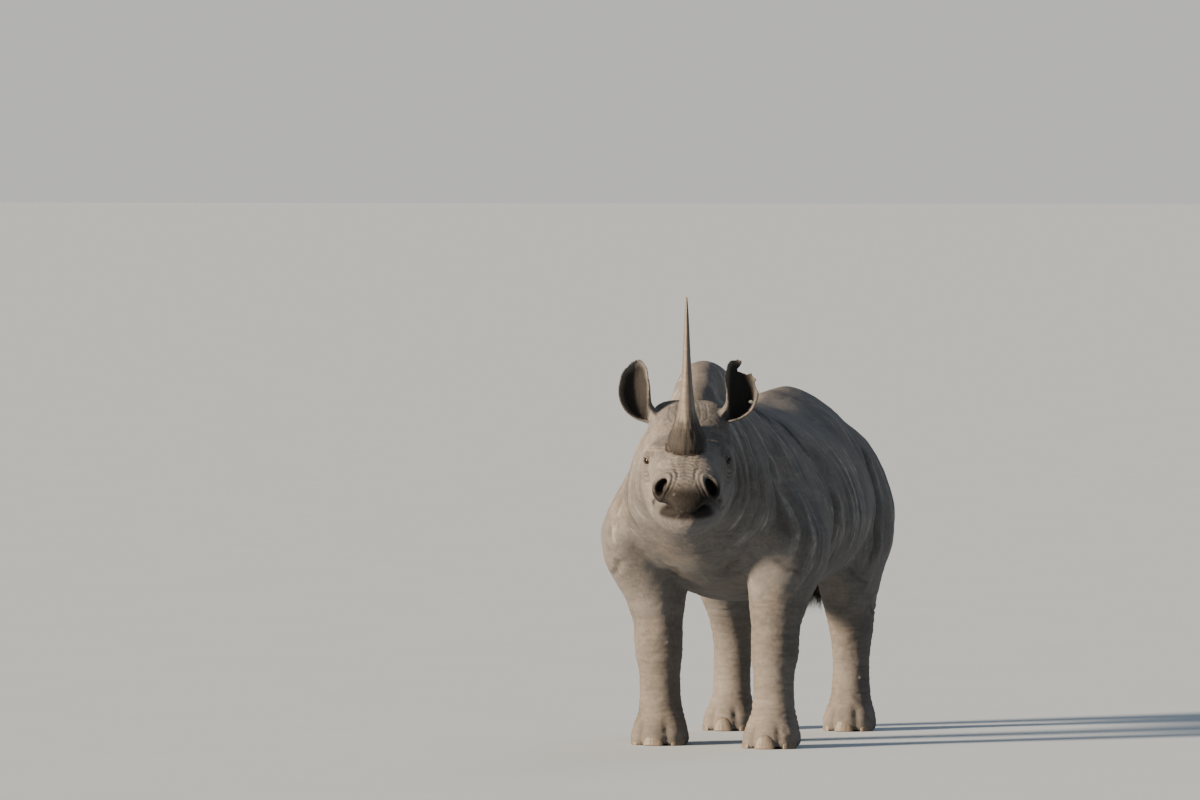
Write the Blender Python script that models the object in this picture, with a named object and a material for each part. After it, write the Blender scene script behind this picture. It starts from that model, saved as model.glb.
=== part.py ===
"""Black rhinoceros, life size, standing with its head raised and turned to its left.

Metres, +Z up. The animal faces -Y and its left side is +X. Every piece of flesh is first
modelled straight, as lofts through named cross sections. The lofts are fused into one body,
the neck is swung to its pose, and the body is then parted with thin planar cuts.
"""

import math

import bmesh
import bpy
import numpy as np
from mathutils import Matrix, Vector

# ---- driving dimensions ----
HEAD_TURN = math.radians(14.5)  # swing of the head to the animal's left
HEAD_PITCH = math.radians(14)  # fall of the head's long axis, from poll to lips
NECK_ROOT_Y = -0.78  # where the neck starts to swing
NECK_LENGTH = 0.44  # from there to where the head is rigid
HEAD_ORIGIN_Y, HEAD_ORIGIN_Z = -1.25, 1.225  # joint of skull and neck
GAP = 0.0004  # clearance of a cut between two pieces
WELD = 0.00001  # points nearer than this are one point
FUSE_VOXEL = 0.013  # cell that fuses the lofts into one body
FLESH_TRIANGLES = 4050  # the whole body before it is parted

EYE_RADIUS = 0.023
EYE_AT = (0.151, 0.315, 0.052)  # lateral, forward, up in the head's own frame
FRONT_HORN_AT = (0.412, 0.113)  # forward, up
REAR_HORN_AT = (0.243, 0.118)

# Sections of the trunk and neck, from tail end to neck end:
# y, top, bottom, half width, level of the widest point, upper and lower fullness (2 = ellipse)
TRUNK = (
    (0.935, 1.140, 1.000, 0.030, 1.07, 2.0, 2.0),
    (0.915, 1.215, 0.900, 0.120, 1.06, 2.0, 2.0),
    (0.850, 1.310, 0.800, 0.225, 1.05, 1.9, 2.0),
    (0.710, 1.398, 0.705, 0.325, 1.02, 1.75, 2.0),
    (0.500, 1.447, 0.650, 0.395, 0.98, 1.65, 2.0),
    (0.270, 1.430, 0.610, 0.435, 0.95, 1.70, 2.1),
    (0.010, 1.388, 0.580, 0.455, 0.93, 1.80, 2.1),
    (-0.250, 1.395, 0.580, 0.452, 0.92, 1.70, 2.0),
    (-0.500, 1.435, 0.620, 0.430, 0.90, 1.55, 1.9),
    (-0.680, 1.490, 0.680, 0.405, 0.90, 1.45, 1.9),
    (-0.820, 1.510, 0.735, 0.345, 0.94, 1.50, 1.9),
    (-0.940, 1.480, 0.795, 0.290, 1.02, 1.65, 1.9),
    (-1.060, 1.435, 0.855, 0.248, 1.07, 1.85, 2.0),
    (-1.180, 1.400, 0.915, 0.212, 1.10, 1.95, 2.0),
    (-1.310, 1.360, 0.980, 0.165, 1.13, 2.0, 2.0),
)
# Sections of the hump over the shoulders, in the same columns
HUMP = (
    (-0.300, 1.380, 1.300, 0.030, 1.34, 2.0, 2.0),
    (-0.420, 1.445, 1.300, 0.070, 1.36, 2.0, 2.0),
    (-0.560, 1.515, 1.300, 0.088, 1.42, 2.0, 2.0),
    (-0.700, 1.570, 1.300, 0.098, 1.46, 2.0, 2.0),
    (-0.810, 1.584, 1.300, 0.100, 1.47, 2.0, 2.0),
    (-0.910, 1.562, 1.280, 0.095, 1.45, 2.0, 2.0),
    (-1.010, 1.500, 1.260, 0.092, 1.40, 2.0, 2.0),
    (-1.100, 1.440, 1.240, 0.070, 1.36, 2.0, 2.0),
    (-1.160, 1.400, 1.240, 0.030, 1.33, 2.0, 2.0),
)

# Sections of the skull and upper jaw in the head's frame:
# forward, top, bottom, half width, level of the widest point, upper and lower fullness
SKULL = (
    (-0.075, 0.140, -0.090, 0.105, 0.00, 2.6, 2.0),
    (-0.040, 0.195, -0.150, 0.146, 0.02, 3.4, 2.0),
    (0.015, 0.220, -0.190, 0.162, 0.03, 4.0, 2.0),
    (0.070, 0.204, -0.205, 0.172, 0.01, 3.2, 2.0),
    (0.140, 0.166, -0.205, 0.184, -0.01, 2.5, 2.0),
    (0.220, 0.142, -0.190, 0.188, 0.00, 2.2, 2.0),
    (0.290, 0.138, -0.170, 0.180, 0.02, 2.2, 2.0),
    (0.360, 0.138, -0.150, 0.160, 0.01, 2.2, 2.1),
    (0.430, 0.136, -0.105, 0.147, 0.00, 2.2, 2.2),
    (0.510, 0.122, -0.076, 0.140, 0.01, 2.3, 2.4),
    (0.570, 0.097, -0.058, 0.137, 0.01, 2.4, 2.5),
    (0.615, 0.072, -0.046, 0.128, 0.01, 2.5, 2.5),
    (0.652, 0.044, -0.038, 0.098, 0.00, 2.3, 2.2),
    (0.676, 0.018, -0.034, 0.056, -0.01, 2.1, 2.0),
    (0.686, 0.002, -0.028, 0.022, -0.014, 2.0, 2.0),
)

# Sections of the lower jaw, in the same columns
JAW = (
    (-0.020, -0.040, -0.140, 0.080, -0.09, 2.0, 2.0),
    (0.020, -0.020, -0.205, 0.128, -0.11, 2.0, 2.0),
    (0.090, -0.010, -0.238, 0.164, -0.13, 2.0, 2.2),
    (0.180, -0.020, -0.244, 0.172, -0.13, 2.0, 2.4),
    (0.280, -0.030, -0.232, 0.164, -0.13, 2.0, 2.4),
    (0.380, -0.035, -0.215, 0.150, -0.12, 2.0, 2.4),
    (0.470, -0.038, -0.204, 0.136, -0.11, 2.0, 2.3),
    (0.550, -0.036, -0.192, 0.122, -0.10, 2.1, 2.2),
    (0.605, -0.036, -0.176, 0.104, -0.09, 2.2, 2.1),
    (0.648, -0.040, -0.148, 0.072, -0.08, 2.2, 2.0),
    (0.668, -0.052, -0.120, 0.030, -0.08, 2.0, 2.0),
)
# Sections of the cheeks, which bridge skull and jaw behind the corners of the mouth
CHEEK = (
    (-0.010, 0.040, -0.160, 0.120, -0.06, 2.0, 2.0),
    (0.040, 0.060, -0.190, 0.158, -0.07, 2.2, 2.2),
    (0.110, 0.070, -0.205, 0.178, -0.07, 2.4, 2.4),
    (0.200, 0.070, -0.208, 0.185, -0.07, 2.5, 2.5),
    (0.290, 0.060, -0.198, 0.176, -0.07, 2.5, 2.5),
    (0.370, 0.050, -0.180, 0.160, -0.07, 2.5, 2.4),
    (0.440, 0.036, -0.160, 0.147, -0.07, 2.4, 2.3),
    (0.490, 0.010, -0.135, 0.134, -0.06, 2.2, 2.2),
    (0.512, -0.020, -0.105, 0.100, -0.06, 2.0, 2.0),
)
# Sections of the pointed upper lip
LIP = (
    (0.580, 0.050, -0.050, 0.100, 0.00, 2.2, 2.0),
    (0.620, 0.045, -0.043, 0.099, 0.00, 2.2, 2.0),
    (0.655, 0.032, -0.040, 0.086, -0.005, 2.2, 2.0),
    (0.680, 0.014, -0.047, 0.064, -0.014, 2.1, 2.0),
    (0.698, -0.004, -0.054, 0.044, -0.027, 2.0, 2.0),
    (0.708, -0.024, -0.052, 0.019, -0.038, 2.0, 2.0),
)
# The line of the lips, from the tip of the snout to a corner of the mouth: lateral, forward, up
LIPS = (
    (0.000, 0.690, -0.060),
    (0.040, 0.684, -0.055),
    (0.075, 0.664, -0.047),
    (0.104, 0.632, -0.045),
    (0.124, 0.592, -0.051),
    (0.137, 0.545, -0.062),
    (0.146, 0.500, -0.076),
)
LIP_GROOVE = 0.009  # radius of the groove between the lips
# Nostrils: where, the way they point, and their half sizes across, high and deep
NOSTRIL_AT = (0.100, 0.616, 0.030)
NOSTRIL_WAY = (0.55, 0.80, 0.10)
NOSTRIL_SIZE = (0.020, 0.034, 0.030)

# Sections of a left leg, top to sole: z, front edge, back edge, inner edge, outer edge, fullness
FORE_LEG = (
    (1.330, -0.700, -0.540, 0.080, 0.160, 2.0),
    (1.220, -0.780, -0.470, 0.100, 0.270, 2.0),
    (1.080, -0.850, -0.410, 0.110, 0.370, 2.0),
    (0.960, -0.885, -0.380, 0.120, 0.435, 2.0),
    (0.860, -0.875, -0.365, 0.130, 0.472, 2.0),
    (0.770, -0.835, -0.370, 0.135, 0.466, 2.0),
    (0.680, -0.775, -0.395, 0.142, 0.430, 2.1),
    (0.580, -0.725, -0.440, 0.148, 0.383, 2.1),
    (0.480, -0.700, -0.472, 0.155, 0.358, 2.1),
    (0.380, -0.695, -0.482, 0.155, 0.352, 2.2),
    (0.290, -0.678, -0.495, 0.166, 0.336, 2.1),
    (0.200, -0.668, -0.495, 0.166, 0.336, 2.1),
    (0.130, -0.682, -0.485, 0.155, 0.347, 2.1),
    (0.070, -0.706, -0.474, 0.139, 0.361, 2.2),
    (0.030, -0.718, -0.470, 0.132, 0.368, 2.2),
    (0.000, -0.712, -0.474, 0.137, 0.363, 2.2),
)
HIND_LEG = (
    (1.340, 0.310, 0.670, 0.060, 0.200, 2.0),
    (1.200, 0.240, 0.850, 0.080, 0.330, 2.0),
    (1.050, 0.200, 0.930, 0.085, 0.395, 2.0),
    (0.920, 0.185, 0.930, 0.095, 0.425, 2.0),
    (0.800, 0.190, 0.880, 0.110, 0.425, 2.0),
    (0.700, 0.240, 0.815, 0.125, 0.405, 2.0),
    (0.600, 0.330, 0.765, 0.140, 0.378, 2.0),
    (0.510, 0.420, 0.748, 0.150, 0.352, 2.0),
    (0.440, 0.478, 0.748, 0.154, 0.342, 2.0),
    (0.360, 0.512, 0.720, 0.165, 0.331, 2.1),
    (0.260, 0.525, 0.692, 0.168, 0.326, 2.1),
    (0.180, 0.520, 0.685, 0.166, 0.328, 2.1),
    (0.120, 0.498, 0.688, 0.155, 0.339, 2.1),
    (0.065, 0.473, 0.694, 0.143, 0.353, 2.2),
    (0.030, 0.464, 0.697, 0.138, 0.358, 2.2),
    (0.000, 0.470, 0.692, 0.143, 0.353, 2.2),
)
# How far forward each foot is set from the table, so that the stance isn't stiff
STRIDE = {"front_left": -0.055, "front_right": 0.045, "hind_left": 0.050, "hind_right": -0.060}
LEG_REACH = {"front": (-1.00, -0.355), "hind": (0.165, 1.20)}  # fore and aft reach of a leg's cut
STRIDE_TOP = 0.95  # level above which the stride moves nothing

# Tail: distance back, height, radius
TAIL = (
    (0.860, 1.265, 0.050),
    (0.930, 1.235, 0.043),
    (0.975, 1.150, 0.031),
    (0.988, 1.030, 0.024),
    (0.982, 0.900, 0.019),
    (0.974, 0.780, 0.016),
    (0.970, 0.680, 0.014),
    (0.970, 0.620, 0.013),
    (0.970, 0.604, 0.006),
)

# Horns: distance up the horn, half width across, half length fore and aft
FRONT_HORN = (
    (0.000, 0.074, 0.098),
    (0.030, 0.082, 0.101),
    (0.056, 0.082, 0.097),
    (0.080, 0.077, 0.090),
    (0.100, 0.069, 0.081),
    (0.118, 0.054, 0.067),
    (0.138, 0.041, 0.056),
    (0.200, 0.032, 0.045),
    (0.300, 0.022, 0.031),
    (0.400, 0.0155, 0.022),
    (0.520, 0.0100, 0.014),
    (0.600, 0.0060, 0.008),
    (0.634, 0.0025, 0.003),
)
REAR_HORN = (
    (0.000, 0.062, 0.068),
    (0.025, 0.057, 0.063),
    (0.055, 0.044, 0.052),
    (0.100, 0.031, 0.040),
    (0.160, 0.021, 0.029),
    (0.215, 0.0125, 0.018),
    (0.258, 0.0060, 0.009),
    (0.272, 0.0020, 0.003),
)


# How the horns stand: forward lean at the root and backward curl to the tip
FRONT_HORN_BEND = (math.radians(10), math.radians(30))
REAR_HORN_BEND = (math.radians(-2), math.radians(20))

# Along the ear from root to tip, in the head's frame: lateral, forward, up,
# radius of the cup and half angle that it wraps
EAR = (
    (0.108, 0.050, 0.140, 0.030, 2.90),
    (0.150, 0.048, 0.166, 0.036, 2.60),
    (0.186, 0.046, 0.195, 0.052, 2.10),
    (0.206, 0.044, 0.228, 0.064, 1.75),
    (0.214, 0.040, 0.266, 0.068, 1.60),
    (0.215, 0.032, 0.309, 0.061, 1.50),
    (0.212, 0.022, 0.351, 0.045, 1.35),
    (0.208, 0.014, 0.378, 0.025, 1.20),
    (0.206, 0.010, 0.389, 0.009, 1.00),
)
EAR_WALL = 0.011  # thickness at the root
EAR_CUT = 0.168  # lateral distance of the plane that parts the ear from the head
EAR_CUT_LOW = 0.118  # the ear is all above this level of the head's frame
EAR_WALL_FALL = 0.45  # share of it lost at the tip
# The torn edge of the left ear's rim, lateral and up, inside a region beyond the rim
TEAR = (
    (0.330, 0.420),
    (0.222, 0.420),
    (0.216, 0.366),
    (0.194, 0.338),
    (0.234, 0.323),
    (0.254, 0.333),
    (0.257, 0.319),
    (0.274, 0.309),
    (0.266, 0.294),
    (0.277, 0.263),
    (0.330, 0.263),
)
EAR_FACES = (0.30, 1.0, 0.12)  # the way the cup opens: lateral, forward, up
EAR_DEPTH = 0.80  # depth of the cup as a share of its width

NAIL_DEPTH = 0.030  # how far a nail reaches into the foot
NAIL_PROUD = 0.007  # how far it stands out of it
NAIL_SIDE_DROP = 0.45  # share of the height lost at the nail's sides
# The nail's outer face, bottom to top: share of its height, and how proud it is there, as a share
# of NAIL_PROUD at the nail's sides and what the middle adds to that
NAIL_FACE = ((0.0, 0.35, 0.65), (0.45, 0.25, 0.65))
NAIL_SHOULDER = (0.88, 0.3, 0.004)  # share of the height, share of NAIL_PROUD, how far set back
NAIL_TOP_DEPTH, NAIL_BACK_TOP = 0.012, 0.9  # depth of the top edge; share of the height at the back
# Nails of a foot, middle one first: turn from straight ahead, half angle, height
NAILS = ((0.0, 0.36, 0.062), (-0.98, 0.30, 0.048), (0.98, 0.30, 0.048))

# Planes that part the body. Heights of a leg's cut at its inner and outer side
LEG_CUT_TOP = {"front": (0.635, 0.95), "hind": (0.655, 1.02)}
LEG_CUT_ACROSS = (0.085, 0.62)  # inner and outer side of the cut
LEG_CUT_BOTTOM = -0.1
TAIL_CUT = ((-0.075, 0.942, 0.5), (0.075, 1.2, 1.26))  # two corners of the box round the tail
HEAD_CUT = ((-0.5, -0.005, -0.6), (0.5, 1.0, 0.6))  # the same round the head, in its own frame
NECK_CUT = ((-0.78, 1.75), (-0.98, 0.60), (-1.70, 0.60), (-1.70, 1.75))  # y and z, seen from the side
NECK_CUT_ACROSS = (-0.6, 0.6)
EAR_CUT_FAR, EAR_CUT_FORE, EAR_CUT_HIGH = 0.45, 0.25, 0.60  # outer, fore-aft and upper reach
TEAR_DEPTH = (-0.15, 0.20)  # fore-aft reach of the tear

# Fineness of the surface
SOLE = 0.006  # everything of a foot lower than this is level on the ground
HEAD_FINE_Y, FOOT_FINE_Z, HEAD_FEET_WEIGHT = -1.22, 0.12, 0.35
TAIL_FINE_Y, TAIL_FINE_Z, TAIL_WEIGHT = 0.945, 1.15, 0.22
SMOOTH_STEPS, SMOOTH_FACTOR = 5, 0.5  # relaxing of the fused surface
TRUNK_RINGS, TRUNK_SIDES = 64, 48  # rings along a loft and points round each ring
HEAD_RINGS, HEAD_SIDES = 40, 40
LEG_RINGS, LEG_SIDES = 54, 32
TAIL_RINGS, TAIL_SIDES = 40, 16
LIP_STEPS = 9  # points along half of the line of the lips
GROOVE_END = 0.3  # share of the groove's radius left at its two ends
BALL_STEPS = 2  # subdivisions of the eyes and nostrils
SAME_PLANE = 0.9999  # faces whose normals agree this well count as one plane
SHARP_ANGLE = math.radians(50)  # edges sharper than this stay hard

SIDES = (("left", 1), ("right", -1))
LEG_TABLES = (("front", FORE_LEG), ("hind", HIND_LEG))


# ---- curves and sections ----
def smooth_rows(table, count):
    """The table's rows at count even steps of their first-column distance, as monotone cubics."""
    rows = np.array(table, float)
    along = np.concatenate([[0], np.cumsum(np.abs(np.diff(rows[:, 0])))])
    at = np.linspace(0, along[-1], count)
    step = np.diff(along)
    slope = np.diff(rows, axis=0) / step[:, None]
    before, after = slope[:-1], slope[1:]
    same = before * after > 0
    safe = np.where(same, before + after, 1.0)
    tangent = np.zeros_like(rows)
    tangent[1:-1] = np.where(same, 2 * before * after / safe, 0)
    tangent[0], tangent[-1] = slope[0], slope[-1]
    i = np.clip(np.searchsorted(along, at, side="right") - 1, 0, len(step) - 1)
    h = step[i][:, None]
    t = (at[:, None] - along[i][:, None]) / h
    return (
        (1 + 2 * t) * (1 - t) ** 2 * rows[i]
        + t * (1 - t) ** 2 * h * tangent[i]
        + t**2 * (3 - 2 * t) * rows[i + 1]
        + t**2 * (t - 1) * h * tangent[i + 1]
    )


def oval(half_width, rise, drop, full_up, full_down, sides):
    """A closed superellipse with its own upper and lower half, as (across, up) pairs."""
    turn = 2 * math.pi * np.arange(sides) / sides
    cos, sin = np.cos(turn), np.sin(turn)
    full = np.where(sin >= 0, full_up, full_down)
    across = half_width * np.sign(cos) * np.abs(cos) ** (2 / full)
    up = np.where(sin >= 0, rise, drop) * np.sign(sin) * np.abs(sin) ** (2 / full)
    return np.stack([across, up], axis=1)


def skin_rings(rings):
    """A closed mesh over rings of points, bridged one to the next, with a cap at each end."""
    bm = bmesh.new()
    loops = []
    for ring in rings:
        verts = [bm.verts.new(p) for p in ring]
        loops.append([bm.edges.new((verts[i - 1], verts[i])) for i in range(len(verts))])
    for first, second in zip(loops, loops[1:]):
        bmesh.ops.bridge_loops(bm, edges=first + second)
    bmesh.ops.holes_fill(bm, edges=[e for e in bm.edges if len(e.link_faces) == 1], sides=0)
    bmesh.ops.triangulate(bm, faces=bm.faces[:])
    bmesh.ops.recalc_face_normals(bm, faces=bm.faces[:])
    return bm


# ---- frames and pose ----
def from_head(points):
    """Points given as (lateral, forward, up) in the head's frame, placed on the straight neck."""
    points = np.asarray(points, float)
    cos, sin = math.cos(HEAD_PITCH), math.sin(HEAD_PITCH)
    lateral, forward, up = points[:, 0], points[:, 1], points[:, 2]
    y = HEAD_ORIGIN_Y - forward * cos - up * sin
    z = HEAD_ORIGIN_Z - forward * sin + up * cos
    return np.stack([lateral, y, z], axis=1)


def swing_neck(points):
    """Bends everything ahead of the neck's root to the left, along an arc and then straight."""
    points = np.array(points, float)
    ahead = np.clip(NECK_ROOT_Y - points[:, 1], 0, None)
    behind = np.clip(points[:, 1] - NECK_ROOT_Y, 0, None)
    bent = np.clip(ahead, 0, NECK_LENGTH)
    straight = ahead - bent
    yaw = HEAD_TURN * bent / NECK_LENGTH
    radius = NECK_LENGTH / HEAD_TURN
    mid_x = radius * (1 - np.cos(yaw)) + straight * np.sin(yaw)
    mid_y = NECK_ROOT_Y - radius * np.sin(yaw) - straight * np.cos(yaw) + behind
    return np.stack(
        [mid_x + points[:, 0] * np.cos(yaw), mid_y + points[:, 0] * np.sin(yaw), points[:, 2]],
        axis=1,
    )


def place_on_head(points):
    """Points of the head's frame, in the final pose."""
    return swing_neck(from_head(points))


def head_matrix():
    """The head's frame in the final pose, with lateral, forward and up as its columns."""
    near, *ends = place_on_head([(0, 0.5, 0), (0.1, 0.5, 0), (0, 0.6, 0), (0, 0.5, 0.1)])
    axes = [(end - near) / 0.1 for end in ends]
    frame = Matrix.Identity(4)
    for row in range(3):
        for column in range(3):
            frame[row][column] = axes[column][row]
        frame[row][3] = near[row] - 0.5 * axes[1][row]
    return frame


# ---- objects ----
def new_object(name, bm):
    mesh = bpy.data.meshes.new(name)
    bm.to_mesh(mesh)
    bm.free()
    obj = bpy.data.objects.new(name, mesh)
    bpy.context.collection.objects.link(obj)
    return obj


def finish_modifiers(obj):
    """Applies the object's modifiers."""
    graph = bpy.context.evaluated_depsgraph_get()
    graph.update()
    mesh = bpy.data.meshes.new_from_object(obj.evaluated_get(graph), depsgraph=graph)
    old = obj.data
    obj.modifiers.clear()
    obj.data = mesh
    bpy.data.meshes.remove(old)
    return obj


def combine(obj, other, operation):
    """A Boolean of obj with other, applied."""
    modifier = obj.modifiers.new(operation.title(), "BOOLEAN")
    modifier.operation = operation
    modifier.solver = "EXACT"
    modifier.object = other
    finish_modifiers(obj)
    return weld(obj)


def weld(obj):
    """Joins points that a Boolean left on top of each other and drops the slivers between."""
    bm = bmesh.new()
    bm.from_mesh(obj.data)
    bmesh.ops.remove_doubles(bm, verts=bm.verts[:], dist=WELD)
    bmesh.ops.dissolve_degenerate(bm, edges=bm.edges[:], dist=WELD)
    bmesh.ops.triangulate(bm, faces=bm.faces[:])
    bm.to_mesh(obj.data)
    bm.free()
    return obj


def copy_of(obj, name):
    twin = obj.copy()
    twin.data = obj.data.copy()
    twin.name = name
    bpy.context.collection.objects.link(twin)
    return twin


def remove(*objects):
    for obj in objects:
        bpy.data.objects.remove(obj)


def move_points(obj, rule):
    """Sets every vertex of obj to rule(all its points)."""
    points = np.empty(len(obj.data.vertices) * 3)
    obj.data.vertices.foreach_get("co", points)
    obj.data.vertices.foreach_set("co", rule(points.reshape(-1, 3)).ravel())
    obj.data.update()


def material(name, colour, roughness):
    made = bpy.data.materials.new(name)
    made.use_nodes = True
    shader = made.node_tree.nodes["Principled BSDF"]
    shader.inputs["Base Color"].default_value = (*colour, 1)
    shader.inputs["Roughness"].default_value = roughness
    return made


# ---- flesh ----
def trunk_loft(table):
    rings = []
    for y, top, bottom, half, wide, up, down in smooth_rows(table, TRUNK_RINGS):
        section = oval(half, top - wide, wide - bottom, up, down, TRUNK_SIDES)
        rings.append([(x, y, wide + z) for x, z in section])
    return skin_rings(rings)


def head_loft(table):
    rings = []
    for forward, top, bottom, half, wide, up, down in smooth_rows(table, HEAD_RINGS):
        section = oval(half, top - wide, wide - bottom, up, down, HEAD_SIDES)
        rings.append(from_head([(x, forward, wide + z) for x, z in section]))
    return skin_rings(rings)


def leg_loft(table, side, stride):
    """A leg on one side, 1 for left and -1 for right, with its foot shifted by stride."""
    rings = []
    for z, front, back, inner, outer, full in smooth_rows(table, LEG_RINGS):
        shift = stride * max(0.0, 1 - z / STRIDE_TOP)
        depth = (back - front) / 2
        section = oval((outer - inner) / 2, depth, depth, full, full, LEG_SIDES)
        middle_x, middle_y = side * (inner + outer) / 2, (front + back) / 2 + shift
        rings.append([(middle_x + x, middle_y + y, z) for x, y in section])
    return skin_rings(rings)


def tail_loft():
    """A round tail whose sections stand square to its run."""
    rows = smooth_rows([(-i, *row) for i, row in enumerate(TAIL)], TAIL_RINGS)
    run = rows[:, 1:3]
    way = np.gradient(run, axis=0)
    way /= np.linalg.norm(way, axis=1)[:, None]
    turn = 2 * math.pi * np.arange(TAIL_SIDES) / TAIL_SIDES
    rings = []
    for (back, height, radius), (along_y, along_z) in zip(rows[:, 1:], way):
        off = radius * np.sin(turn)
        rings.append(
            np.stack(
                [radius * np.cos(turn), back - off * along_z, height + off * along_y], axis=1
            )
        )
    return skin_rings(rings)


def flesh_body():
    """All the lofts but the ears, fused into one closed surface in the final pose."""
    pieces = [
        new_object("trunk_loft", trunk_loft(TRUNK)),
        new_object("hump_loft", trunk_loft(HUMP)),
        new_object("skull_loft", head_loft(SKULL)),
        new_object("jaw_loft", head_loft(JAW)),
        new_object("cheek_loft", head_loft(CHEEK)),
        new_object("lip_loft", head_loft(LIP)),
        new_object("tail_loft", tail_loft()),
    ]
    for place, table in LEG_TABLES:
        for word, side in SIDES:
            stride = STRIDE[f"{place}_{word}"]
            pieces.append(new_object(f"leg_loft_{place}_{word}", leg_loft(table, side, stride)))
    bm = bmesh.new()
    for piece in pieces:
        bm.from_mesh(piece.data)
    remove(*pieces)
    body = new_object("flesh", bm)
    fuse = body.modifiers.new("Fuse", "REMESH")
    fuse.mode = "VOXEL"
    fuse.voxel_size = FUSE_VOXEL
    soften = body.modifiers.new("Soften", "SMOOTH")
    soften.factor, soften.iterations = SMOOTH_FACTOR, SMOOTH_STEPS
    finish_modifiers(body)
    move_points(body, swing_neck)
    return body


def thin_out(body):
    """Brings the body down to FLESH_TRIANGLES, keeping the head and feet the finest."""
    group = body.vertex_groups.new(name="keep")
    points = np.empty(len(body.data.vertices) * 3)
    body.data.vertices.foreach_get("co", points)
    points = points.reshape(-1, 3)
    foot_or_head = (points[:, 1] < HEAD_FINE_Y) | (points[:, 2] < FOOT_FINE_Z)
    tail = (points[:, 1] > TAIL_FINE_Y) & (points[:, 2] < TAIL_FINE_Z)
    for fine, weight in ((foot_or_head, HEAD_FEET_WEIGHT), (tail, TAIL_WEIGHT)):
        group.add([int(i) for i in np.nonzero(fine)[0]], weight, "REPLACE")
    thin = body.modifiers.new("Thin", "DECIMATE")
    thin.ratio = FLESH_TRIANGLES / (2 * len(body.data.polygons))
    thin.vertex_group = "keep"
    thin.invert_vertex_group = True
    thin.vertex_group_factor = 1.0
    finish_modifiers(body)
    flatten_soles(body)
    return body


def flatten_soles(body):
    """Sets the lowest points of the feet level on the ground."""

    def level(points):
        points[:, 2] = np.where(points[:, 2] < SOLE, 0.0, points[:, 2])
        return points

    move_points(body, level)


# ---- ears ----
def ear_grid(side, across_count=9, along_count=11):
    """Outer and inner grid of an ear's cup, as points of the head's frame."""
    rows = smooth_rows([(-i, *row) for i, row in enumerate(EAR)], along_count)[:, 1:]
    rows[:, 0] *= side
    across = np.linspace(-1, 1, across_count)
    axis = rows[:, :3]
    rise = np.gradient(axis, axis=0)
    rise /= np.linalg.norm(rise, axis=1)[:, None]
    faces = np.array((side * EAR_FACES[0], *EAR_FACES[1:]))
    opens = faces - (rise @ faces)[:, None] * rise
    opens /= np.linalg.norm(opens, axis=1)[:, None]
    wide = np.cross(rise, opens)
    grids = []
    for wall in (0.0, EAR_WALL):
        radius = rows[:, 3] - wall * (1 - EAR_WALL_FALL * np.linspace(0, 1, along_count))
        turn = across[None, :] * rows[:, 4:5]
        reach = np.maximum(radius, 0.004)[:, None]
        back = (EAR_DEPTH * reach * (0.3 - np.cos(turn)))[..., None] * opens[:, None]
        grids.append(axis[:, None] + back + (reach * np.sin(turn))[..., None] * wide[:, None])
    return grids


def ear_solid(side):
    """A closed cup: outer wall, inner wall and the rim between them."""
    bm = bmesh.new()
    outer, inner = (
        [[bm.verts.new(p) for p in place_on_head(row)] for row in grid]
        for grid in ear_grid(side)
    )
    rows, columns = len(outer), len(outer[0])
    for i in range(rows - 1):
        for j in range(columns - 1):
            bm.faces.new((outer[i][j], outer[i][j + 1], outer[i + 1][j + 1], outer[i + 1][j]))
            bm.faces.new((inner[i][j], inner[i + 1][j], inner[i + 1][j + 1], inner[i][j + 1]))
        for j in (0, columns - 1):
            bm.faces.new((outer[i][j], outer[i + 1][j], inner[i + 1][j], inner[i][j]))
    for j in range(columns - 1):
        for i in (0, rows - 1):
            bm.faces.new((outer[i][j], outer[i][j + 1], inner[i][j + 1], inner[i][j]))
    bmesh.ops.recalc_face_normals(bm, faces=bm.faces[:])
    return bm


# ---- horns, eyes and nails ----
def horn_solid(table, at, lean, curl, sides=12, count=12):
    """A horn on the mid line, leaning forward by lean at its root and curling back by curl."""
    rows = smooth_rows(table, count)
    length = rows[-1, 0]
    angle = lean - curl * rows[:, 0] / length
    step = np.diff(rows[:, 0], prepend=0)
    forward = at[0] + np.cumsum(step * np.sin(angle))
    up = at[1] + np.cumsum(step * np.cos(angle))
    turn = 2 * math.pi * np.arange(sides) / sides
    rings = []
    for (_, across, fore), a, u, w in zip(rows, angle, forward, up):
        reach = fore * np.sin(turn)
        rings.append(
            place_on_head(
                np.stack(
                    [across * np.cos(turn), u + reach * np.cos(a), w - reach * np.sin(a)],
                    axis=1,
                )
            )
        )
    return skin_rings(rings)


def eye_solid(side, grow=0.0):
    bm = bmesh.new()
    bmesh.ops.create_icosphere(bm, subdivisions=BALL_STEPS, radius=EYE_RADIUS + grow)
    centre = place_on_head([(side * EYE_AT[0], EYE_AT[1], EYE_AT[2])])[0]
    bmesh.ops.translate(bm, verts=bm.verts[:], vec=Vector(centre))
    return bm


def foot_outline(table, side, stride):
    """Centre and half sizes of a foot at its widest, just above the sole."""
    _, front, back, inner, outer, _ = table[-2]
    centre = (side * (inner + outer) / 2, (front + back) / 2 + stride)
    return centre, (outer - inner) / 2, (back - front) / 2


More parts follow.
